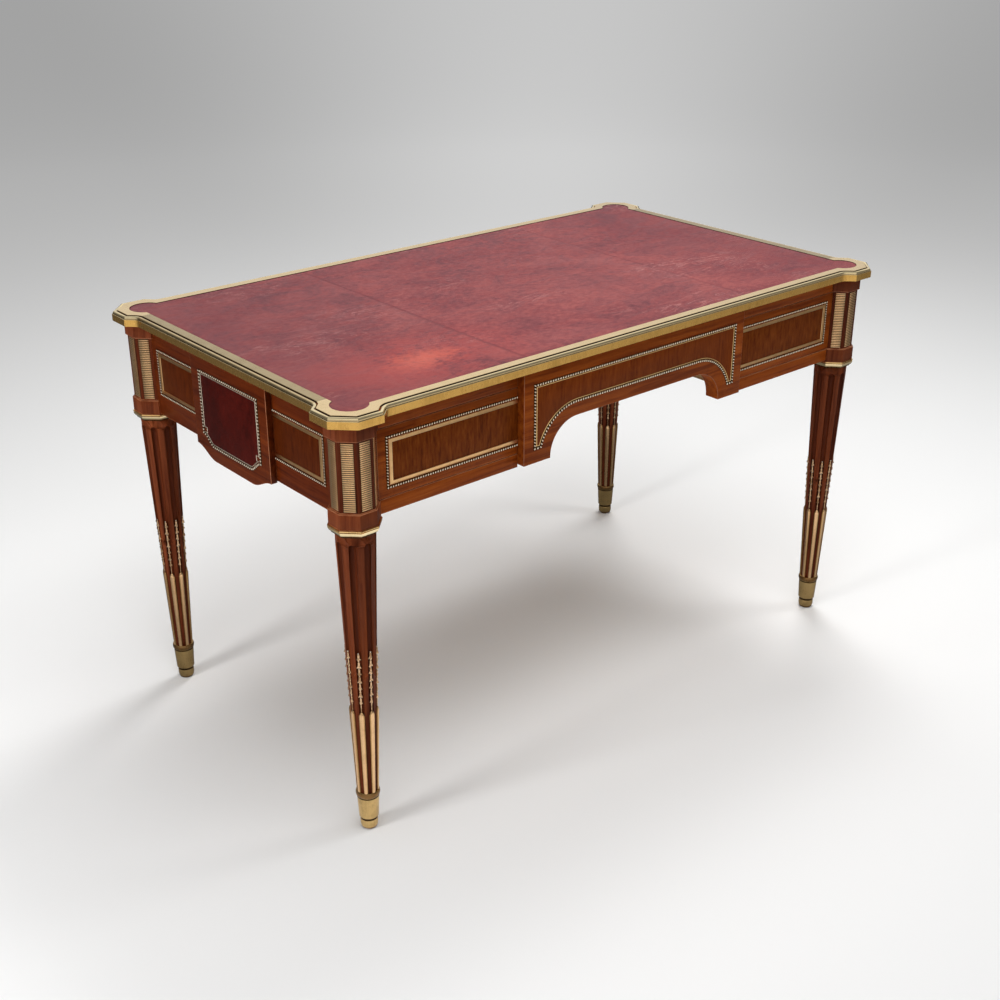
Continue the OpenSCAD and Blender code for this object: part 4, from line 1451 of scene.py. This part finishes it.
@dataclass
class ReededPanels:
    """Brass panels on the posts, each a plate with a stack of round reeds."""

    plan: Plan
    width: float = 19.5
    margin: float = 2.5
    pitch: float = 3.4
    sides: int = 10
    plate_t: float = 1.2
    plate_in: float = 0.5
    reed_out: float = 0.15
    reed_fill: float = 0.335
    reed_flat: float = 0.95

    def build(self) -> None:
        """Models one panel and copies it to five sides of each post."""
        post = self.plan.leg_x - self.plan.post_x
        low, high = self.plan.open_low + self.margin, self.plan.open_top - self.margin
        count = int((high - low) / self.pitch)
        step = (high - low) / count
        plate = self.plate(post, low, high)
        reed = take(self.reed(step))
        reed.data.transform(at(post + self.reed_out, 0, low + step / 2))
        array = reed.modifiers.new("stack", "ARRAY")
        array.count = count
        array.use_relative_offset = False
        array.use_constant_offset = True
        array.constant_offset_displace = (0, 0, step * MM)
        bpy.ops.object.modifier_apply(modifier="stack")
        panel = joined("panel", [plate, reed])
        copies = [twin(panel, "panel_part", place @ about("Z", corner + side))
                  for _, place, corner in self.plan.legs() for side in (-90, -45, 0, 45, 90)]
        bpy.data.objects.remove(panel)
        fitted(joined("reeded_plates", copies), "reeded_panels")

    def plate(self, post: float, low: float, high: float) -> Object:
        """The plate behind the reeds, looking along +X.

        Args:
            post: Distance of the post's face from the leg's axis in millimetres.
            low: Height of the plate's lower end.
            high: Height of its upper end.

        Returns:
            The plate.
        """
        deselect()
        place = Vector((post - self.plate_in, 0, (low + high) / 2)) * MM
        bpy.ops.mesh.primitive_cube_add(size=1, location=place)
        obj = bpy.context.object
        obj.scale = Vector((self.plate_t, self.width, high - low)) * MM
        return bevelled(dressed(settle(obj), PATINA, REED_BRASS), 0.2, 1)

    def reed(self, step: float) -> Object:
        """One reed, a thin rod with rounded ends that lies across the panel.

        Args:
            step: Distance from reed to reed in millimetres.

        Returns:
            The reed at the origin.
        """
        r, half = step * self.reed_fill, self.width / 2
        profile = [(r * 0.55, 0.3 - half), (r, 0.9 - half), (r, half - 0.9), (r * 0.55, half - 0.3)]
        obj = turned("reed", profile, self.sides)
        obj.data.transform(Matrix.Diagonal((self.reed_flat, 1, 1, 1)) @ about("X", 90))
        dressed(obj, PATINA, REED_BRASS)
        for polygon in obj.data.polygons:
            polygon.material_index = 1
        return smooth(obj, 50)


# Mouldings and panels on the frieze


@dataclass
class Ornament:
    """Rope beading, brass frames and veneers, drawn on one face of the frieze.

    A drawing has X along the face, as seen on the front, and Z up. It is laid on the plane at
    a distance out from the desk's middle and then turned to its face. Mouldings with an open
    end are cut off at open_x, and what lies nearer to the face's middle is dropped.
    """

    face: Face
    out: float
    bead_w: float = 4.4
    bead_r: float = 1.95
    pitch: float = 4.9
    bead_shape: tuple[float, float, float] = (0.66, 1.12, 0.8)
    bead_slant: float = -30.0
    bead_lift: float = 0.25
    least_corner: float = 20.0
    frame_w: float = 6.3
    frame_in: float = 6.2
    line_w: float = 1.6
    fillet_w: float = 0.3
    fillet_h: float = 0.5
    open_x: float | None = None

    def lay(self, obj: Object) -> Object:
        """Stands a drawing made in X and Y upright on its plane and turns it to its face."""
        obj.data.transform(about("Z", self.face.value) @ at(0, -self.out) @ about("X", 90))
        return obj

    def ring(self, name: str, points: Sequence[Point], steps: Sequence[Step]) -> Object:
        """Makes a closed moulding along an outline.

        Args:
            name: Name of the new object.
            points: The outer outline.
            steps: Width in, rise and slot of each step, from the outer foot to the inner one.

        Returns:
            A ring that lies in X and Y and rises along Z.
        """
        obj = raised(dressed(outline(name, points), BRASS, PATINA), steps)
        with editing(obj, lambda f: f.normal.z < -LEVEL):
            draw_in(sum(step[0] for step in steps))
        unwanted = {largest(obj, 1), largest(obj, -1)}
        with editing(obj, lambda f: f.index in unwanted):
            bpy.ops.mesh.delete(type="FACE")
        tidy(obj, 2 * MERGE)
        if self.open_x is not None:
            keep_behind(obj, self.open_x, 0, -math.copysign(1, self.open_x), 0)
        return obj

    def shows(self, x: float) -> bool:
        """Whether a bead at X lies on the side of the open end that is kept."""
        return self.open_x is None or (x - self.open_x) * math.copysign(1, self.open_x) > self.bead_r * 0.5

    def inset(self, points: Sequence[Point], width: float) -> list[Point]:
        """The corners of an outline moved in by a width, in order.

        Args:
            points: The outline.
            width: The width in millimetres.

        Returns:
            The new corners.
        """
        obj = outline("measure", points)
        with editing(obj):
            draw_in(width)
        inner = next(f for f in obj.data.polygons if f.select)
        found = [tuple(obj.data.vertices[i].co.xy / MM) for i in inner.vertices]
        bpy.data.objects.remove(obj)
        return found

    def bead(self) -> Object:
        """One slanted bead of the rope.

        Returns:
            The bead at the origin.
        """
        deselect()
        bpy.ops.mesh.primitive_uv_sphere_add(segments=8, ring_count=5, radius=self.bead_r * MM)
        obj = named(bpy.context.object, "bead")
        obj.data.transform(about("Z", self.bead_slant) @ Matrix.Diagonal((*self.bead_shape, 1)))
        return smooth(dressed(obj, BEAD_BRASS), 60)

    def rope(self, name: str, points: Sequence[Point]) -> Object:
        """A rope beading along an outline: a thin fillet on both sides and a row of slanted beads.

        Args:
            name: Name of the new object.
            points: The outer outline.

        Returns:
            The beading, which lies in X and Y.
        """
        edge, rise = self.fillet_w, self.fillet_h
        flat = self.bead_w - 2 * edge - 0.3
        pieces = [self.ring(name + "_fillet", points, [
            (0, rise, 1), (edge, 0.2, 1), (0.15, -0.3, 1), (flat, 0, 1), (0.15, 0.3, 1), (edge, -0.2, 1),
            (0, -rise, 1)])]
        bead = self.bead()
        for x, y, turn in self.stations(self.inset(points, self.bead_w / 2)):
            if self.shows(x):
                place = at(x, y, rise + self.bead_lift) @ Matrix.Rotation(turn, 4, "Z")
                pieces.append(twin(bead, "bead_part", place))
        bpy.data.objects.remove(bead)
        return joined(name, pieces)

    def line(self, name: str, points: Sequence[Point]) -> Object:
        """A thin flat line of brass along an outline."""
        return smooth(self.ring(name, points, [
            (0, 0.7, 0), (0.3, 0.35, 0), (self.line_w - 0.6, 0, 0), (0.3, -0.35, 0), (0, -0.7, 0)]), 30)

    def stations(self, points: Sequence[Point]) -> list[tuple[float, float, float]]:
        """Spreads beads evenly along each run of a closed outline.

        Args:
            points: The outline, in order.

        Returns:
            X, Y and the turn of each bead, in millimetres and radians.
        """
        corners = [Vector(p) for p in points]
        n = len(corners)
        sharp = []
        for i in range(n):
            before, after = corners[i] - corners[i - 1], corners[(i + 1) % n] - corners[i]
            sharp.append(abs(before.angle_signed(after)) > math.radians(self.least_corner))
        first = sharp.index(True)
        found, run = [], [corners[first]]
        for i in range(first + 1, first + n + 1):
            run.append(corners[i % n])
            if sharp[i % n]:
                found += self.on_run(run)
                run = [corners[i % n]]
        return found

    def on_run(self, run: Sequence[Vector]) -> list[tuple[float, float, float]]:
        """Spreads beads along one run between two sharp corners.

        Args:
            run: The points along the run.

        Returns:
            X, Y and the turn of each bead.
        """
        lengths = [(b - a).length for a, b in zip(run, run[1:])]
        total = sum(lengths)
        count = max(1, round(total / self.pitch))
        found = []
        for i in range(count):
            left = total * i / count
            for a, b, length in zip(run, run[1:], lengths):
                if left <= length:
                    spot, way = a.lerp(b, left / length), b - a
                    found.append((spot.x, spot.y, math.atan2(way.y, way.x)))
                    break
                left -= length
        return found

    def flat_frame(self, name: str, points: Sequence[Point]) -> Object:
        """A flat brass frame with a raised outer fillet, a hollow and a sloping inner lip.

        Args:
            name: Name of the new object.
            points: The outer outline.

        Returns:
            The frame, which lies in X and Y.
        """
        obj = self.ring(name, points, [
            (0, 0.8, 0), (0.3, 0.3, 0), (0.5, 0, 0), (0.15, -0.35, 1), (0.3, 0, 1), (0.15, 0.2, 0),
            (self.frame_w - 2.9, 0.35, 0), (0.5, 0.2, 0), (0.4, 0, 0), (0.3, -0.5, 0), (0.3, -1.0, 1)])
        return smooth(dressed(obj, FRAME_BRASS, PATINA), 25)

    def veneer(self, name: str, points: Sequence[Point], finish: Finish, thick: float = 0.5) -> Object:
        """A thin panel with a softened edge."""
        obj = raised(outline(name, points, -0.2), [(0, thick), (0.4, 0.2)])
        return smooth(dressed(obj, finish), 30)


def box_points(x0: float, x1: float, z0: float, z1: float) -> list[Point]:
    """The corners of a rectangle, anticlockwise."""
    return [(x0, z0), (x1, z0), (x1, z1), (x0, z1)]


@dataclass
class FriezePanels:
    """The rectangular panels: rope beading, flat frame and figured veneer, open towards the blocks."""

    plan: Plan
    margin: float = 15.0
    margin_post: float = 17.0
    spare: float = 30.0

    def outer(self, end: float, post: float) -> list[Point]:
        """The beading's outline, drawn on past its open end by a spare length.

        Args:
            end: X of the open end, with its sign.
            post: Distance of the post's inner side from the face's middle.

        Returns:
            The outline's points.
        """
        s = math.copysign(1, end)
        x0, x1 = sorted((end - s * self.spare, s * (post - self.margin_post)))
        return box_points(x0, x1, self.plan.open_low + self.margin, self.plan.open_top - self.margin)

    def panel(self, face: Face, out: float, name: str, end: float, post: float,
              finish: Wood) -> tuple[Object, Object, Object]:
        """Makes one panel's beading, frame and veneer on their face.

        Args:
            face: The face of the frieze.
            out: Distance of that face from the desk's middle.
            name: Start of the pieces' names.
            end: X of the open end, with its sign.
            post: Distance of the post's inner side from the face's middle.
            finish: The veneer's wood.

        Returns:
            The beading, the frame and the veneer.
        """
        ornament = Ornament(face, out, open_x=end)
        points = self.outer(end, post)
        rope = ornament.rope(name + "_rope", points)
        frame_points = ornament.inset(points, ornament.frame_in)
        flat = ornament.flat_frame(name + "_frame", frame_points)
        xs, zs = zip(*ornament.inset(frame_points, ornament.frame_w - 0.2))
        edge = sorted((end, max(xs) if end > 0 else min(xs)))
        veneer = ornament.veneer(name + "_veneer", box_points(*edge, min(zs), max(zs)), finish)
        return ornament.lay(rope), ornament.lay(flat), ornament.lay(veneer)

    def build(self) -> None:
        """Makes the panels of the drawers, the back and both ends."""
        p = self.plan
        edge = box_mm("drawer_right_front")[0].x
        for side, name in SIDES:
            drawer = f"drawer_{name}"
            rope, flat, veneer = self.panel(Face.FRONT, p.front, drawer, side * edge, p.post_x, FIGURED)
            fitted(rope, drawer + "_beading", body=drawer)
            fitted(flat, drawer + "_flat_frame", body=drawer)
            fitted(veneer, body=drawer, slot="mahogany")
        self.fixed(Face.BACK, p.front, p.block_half, p.post_x, "back", FIGURED)
        self.fixed(Face.LEFT, p.end, p.tablet_half, p.post_y, "end_left", FIGURED_END_SHADED)
        self.fixed(Face.RIGHT, p.end, p.tablet_half, p.post_y, "end_right", FIGURED_END_SHADED)

    def fixed(self, face: Face, out: float, end: float, post: float, name: str, finish: Wood) -> None:
        """Makes the two panels of a face that doesn't move.

        Args:
            face: The face of the frieze.
            out: Distance of that face from the desk's middle.
            end: Distance of the open ends from the face's middle.
            post: Distance of the posts' inner sides from the face's middle.
            name: Start of the pieces' names, from which the nodes' names follow.
            finish: The veneers' wood.
        """
        ropes, flats, veneers = zip(*(self.panel(face, out, f"{name}_{i}", side * end, post, finish)
                                      for i, side in enumerate((-1, 1))))
        head, mark, side = name.partition("_")
        fitted(joined(name + "_ropes", ropes), f"{head}_beading{mark}{side}")
        fitted(joined(name + "_frames", flats), f"{head}_flat_frames{mark}{side}")
        fitted(joined(name + "_veneers", veneers), slot="mahogany")


@dataclass
class CentreBlocks:
    """The arched blocks at the front and the back: shaped beading, thin inner line and veneer."""

    plan: Plan
    side: float = 21.0
    edge: float = 24.0
    top: float = 24.0
    lift: float = 5.0
    arch_rise: float = 67.0
    arch_r: float = 60.0
    foot: float = 59.5
    bead_w: float = 4.8
    bead_r: float = 2.2
    pitch: float = 5.6
    line_in: float = 5.8
    steps: int = 18

    def points(self) -> list[Point]:
        """The beading's outline, anticlockwise from its lower left corner.

        Returns:
            The outline's points.
        """
        p = self.plan
        half = p.block_half - self.side
        low = p.frieze_low + self.lift + self.edge
        high = p.under - self.top
        r = self.arch_r + self.edge
        spring = p.frieze_low + self.arch_rise - self.arch_r
        centre = p.block_half - self.foot - self.arch_r
        start = math.degrees(math.asin((low - spring) / r))
        left = arc((-centre, spring), r, 180 - start, 90, self.steps)
        right = arc((centre, spring), r, 90, start, self.steps)
        return [(-half, low)] + left + right + [(half, low), (half, high), (-half, high)]

    def build(self) -> None:
        """Makes the front drawer's mouldings and those of the back."""
        self.dress(Face.FRONT, "drawer_centre", "drawer_centre", "drawer_centre_beading")
        self.dress(Face.BACK, "back_centre", "carcass", "back_beading")

    def dress(self, face: Face, name: str, body: str, node: str) -> None:
        """Lays the beading, the line and the veneer on one face.

        Args:
            face: The face of the frieze.
            name: Start of the pieces' names.
            body: The body that they move with.
            node: The node that the beading replaces.
        """
        ornament = Ornament(face, self.plan.block_front, self.bead_w, self.bead_r, self.pitch)
        points = self.points()
        fitted(ornament.lay(ornament.rope(name + "_rope", points)), node, body=body)
        line_points = ornament.inset(points, self.line_in)
        fitted(ornament.lay(ornament.line(name + "_line", line_points)), body=body)
        inner = ornament.inset(line_points, ornament.line_w)
        veneer = ornament.veneer(name + "_veneer", inner, FIGURED_CENTRE)
        fitted(ornament.lay(veneer), body=body, slot="mahogany")


@dataclass
class Tablets:
    """The shaped tablets on the ends: beading, notched inner line and a leather panel."""

    plan: Plan
    half: float = 119.0
    side: float = 25.0
    top: float = 30.0
    low: float = 25.0
    drop: float = 22.0
    ogee: float = 19.0
    flat: float = 118.0
    notch: float = 8.0
    bead_w: float = 4.8
    bead_r: float = 2.2
    pitch: float = 5.9
    line_in: float = 6.0
    hide_t: float = 0.9
    steps: int = 8

    def points(self) -> list[Point]:
        """The beading's outline, anticlockwise from the left end of its flat lower edge.

        Returns:
            The outline's points.
        """
        foot = self.plan.frieze_low - self.drop + self.low
        half, flat = self.half - self.side, self.flat / 2
        high = self.plan.under - self.top
        wave = [(flat + (half - flat) * i / self.steps,
                 foot + self.ogee * (1 - math.cos(math.pi * i / self.steps)) / 2)
                for i in range(self.steps + 1)]
        return [(-x, z) for x, z in reversed(wave)] + wave + [(half, high), (-half, high)]

    def notched(self, points: Sequence[Point]) -> list[Point]:
        """Adds a small step inwards where the upright sides meet the curves.

        Args:
            points: The line's outline.

        Returns:
            The outline with its steps.
        """
        shoulder = sorted({round(z, 3) for _, z in points})[-2]
        half = max(x for x, _ in points)
        found = []
        for x, z in points:
            if abs(z - shoulder) < 0.01 and abs(abs(x) - half) < 0.01:
                s = 1 if x > 0 else -1
                steps = [(x - s * self.notch, z), (x - s * self.notch, z + self.notch), (x, z + self.notch)]
                found += steps[::s]
            else:
                found.append((x, z))
        return found

    def build(self) -> None:
        """Makes both ends' tablets."""
        hides = []
        for face, name in ((Face.LEFT, "left"), (Face.RIGHT, "right")):
            ornament = Ornament(face, self.plan.tablet_end, self.bead_w, self.bead_r, self.pitch)
            points = self.points()
            fitted(ornament.lay(ornament.rope(f"tablet_{name}_rope", points)), f"end_beading_{name}")
            inner = self.notched(ornament.inset(points, self.line_in))
            fitted(ornament.lay(dressed(ornament.line(f"tablet_{name}_line", inner), BEAD_BRASS)))
            hides.append(ornament.lay(ornament.veneer(
                f"tablet_{name}_hide", ornament.inset(inner, ornament.line_w), TABLET_LEATHER, self.hide_t)))
        fitted(joined("tablet_hides", hides), "tablet_leathers", slot="leather")


# The studio


@dataclass(frozen=True)
class Lamp:
    """One soft square lamp, placed so many degrees round from +X and so many up from the desk."""

    name: str
    azimuth: float
    elevation: float
    power: float
    size: float
    distance: float = 3.2
    height: float = 0.4

    def hang(self) -> None:
        """Hangs the lamp so that it looks at the desk."""
        way = direction(self.azimuth, self.elevation)
        deselect()
        bpy.ops.object.light_add(type="AREA", location=Vector((0, 0, self.height)) + way * self.distance)
        obj = named(bpy.context.object, self.name)
        obj.data.size = self.size
        obj.data.energy = self.power
        obj.visible_glossy = False
        obj.rotation_euler = (-way).to_track_quat("-Z", "Y").to_euler()


@dataclass
class Studio:
    """A pale floor, soft lamps and the camera, whose azimuth is 0 in front of the desk."""

    azimuth: float = -40.51
    elevation: float = 25.03
    distance: float = 2.6441
    target: tuple[float, float, float] = (-0.1228, -0.1127, 0.4)
    focal_px: float = 1401.5
    frame_px: float = 1000.0
    sensor: float = 36.0
    sky: float = 0.19
    wall: float = 0.55
    floor_radius: float = 40.0
    floor_near: Colour = (0.90, 0.90, 0.897)
    floor_back: Colour = (0.99, 0.99, 0.985)
    floor_far: Colour = (0.80, 0.80, 0.795)
    lamps: tuple[Lamp, ...] = (
        Lamp("front_left", -135, 50, 17, 2.0), Lamp("back_right", 30, 60, 48, 1.1),
        Lamp("overhead", -105, 72, 38, 2.0), Lamp("left_low", 180, 12, 42, 0.7),
        Lamp("right_front", -30, 50, 12, 0.7))

    def build(self) -> None:
        """Makes the floor, the lamps, the world and the camera."""
        self.floor()
        self.world()
        for lamp in self.lamps:
            lamp.hang()
        self.camera()

    def floor(self) -> None:
        """Lays a wide round floor."""
        deselect()
        bpy.ops.mesh.primitive_circle_add(vertices=96, radius=self.floor_radius, fill_type="NGON")
        obj = named(bpy.context.object, "floor")
        obj.data.materials.append(self.paper())

    def paper(self) -> bpy.types.Material:
        """The floor's pale paper, with painted light: lighter behind the desk and greyer with distance, and
        darker in reflections, where it is painted brighter towards the front left.

        Returns:
            The material.
        """
        material, tree = blank_material("floor_paper")
        place = tree.out("TexCoord", output="Object")
        far = tree.vector("LENGTH", place)
        way = tree.vector("NORMALIZE", place, output="Vector")
        seen, mirrored = tree.rays()
        behind = tree.vector("DOT_PRODUCT", place, direction(self.azimuth + 90, 0))
        colour = tree.mix(tree.ramp(behind, -0.7, 0.4), self.floor_near, self.floor_back)
        colour = tree.mix(tree.ramp(far, 1.6, 6.0), colour, self.floor_far)
        shade = tree.ramp(tree.vector("DOT_PRODUCT", way, (-0.5, -1.0, 0)), -0.4, 1.3, 0.20, 1.0)
        colour = tree.mix(mirrored, colour, tree.grey(shade * 0.6))
        across = tree.vector("DOT_PRODUCT", way, direction(self.azimuth, 0))
        # Painted light: the far floor glows for the camera in a band across the view, and the floor glows in
        # reflections.
        lit = tree.ramp(far, 1.2, 5.5) * tree.ramp((across - 0.05).size(), 0.42, 0.0, 0.21, 0.41)
        glow = lit * seen + shade * 0.35 * mirrored
        shader = tree.out("BsdfPrincipled", {
            "Base Color": colour, "Roughness": 0.75, "Specular IOR Level": 0.0,
            "Emission Color": tree.grey(glow), "Emission Strength": 1.0})
        tree.add("OutputMaterial", {"Surface": shader})
        return material

    def world(self) -> None:
        """Lights the room evenly, with brighter sides at the front and back for the metal to mirror."""
        world = bpy.data.worlds.new("room")
        bpy.context.scene.world = world
        world.use_nodes = True
        tree = Tree(world.node_tree)
        way = tree.out("TexCoord", output="Generated")
        ahead = tree.vector("DOT_PRODUCT", way, (0.65, 0.76, 0))
        side = tree.ramp(ahead.size(), 0.2, 0.9, 0.25, 1.0)
        high = tree.ramp(tree.out("SeparateXYZ", {0: way}, 2), 0.05, 0.6, 2.6, 5.0)
        seen, mirrored = tree.rays()
        strength = tree.blend(seen, tree.blend(mirrored, 1.0, side * high) * self.sky, self.wall)
        tree.feed(world.node_tree.nodes["Background"], {"Color": (1.0, 1.0, 1.0), "Strength": strength})

    def camera(self) -> None:
        """Places the camera at the photographed angle."""
        back = direction(self.azimuth - 90, self.elevation)
        deselect()
        bpy.ops.object.camera_add(location=Vector(self.target) + back * self.distance)
        obj = named(bpy.context.object, "camera")
        obj.rotation_euler = (-back).to_track_quat("-Z", "Y").to_euler()
        obj.data.sensor_width = self.sensor
        obj.data.lens = self.sensor * self.focal_px / self.frame_px
        bpy.context.scene.camera = obj
        bpy.context.scene.view_settings.view_transform = "Standard"


def main() -> None:
    """Builds the desk piece by piece, then the studio."""
    plan = Plan.from_frame()
    rim = Rim(plan)
    rim.build()
    LeatherTop(rim).build()
    Joinery().build()
    Legs(plan).build()
    ReededPanels(plan).build()
    FriezePanels(plan).build()
    CentreBlocks(plan).build()
    Tablets(plan).build()
    Studio().build()


if __name__ == "__main__":
    logging.basicConfig(level=logging.INFO, format="%(message)s")
    main()
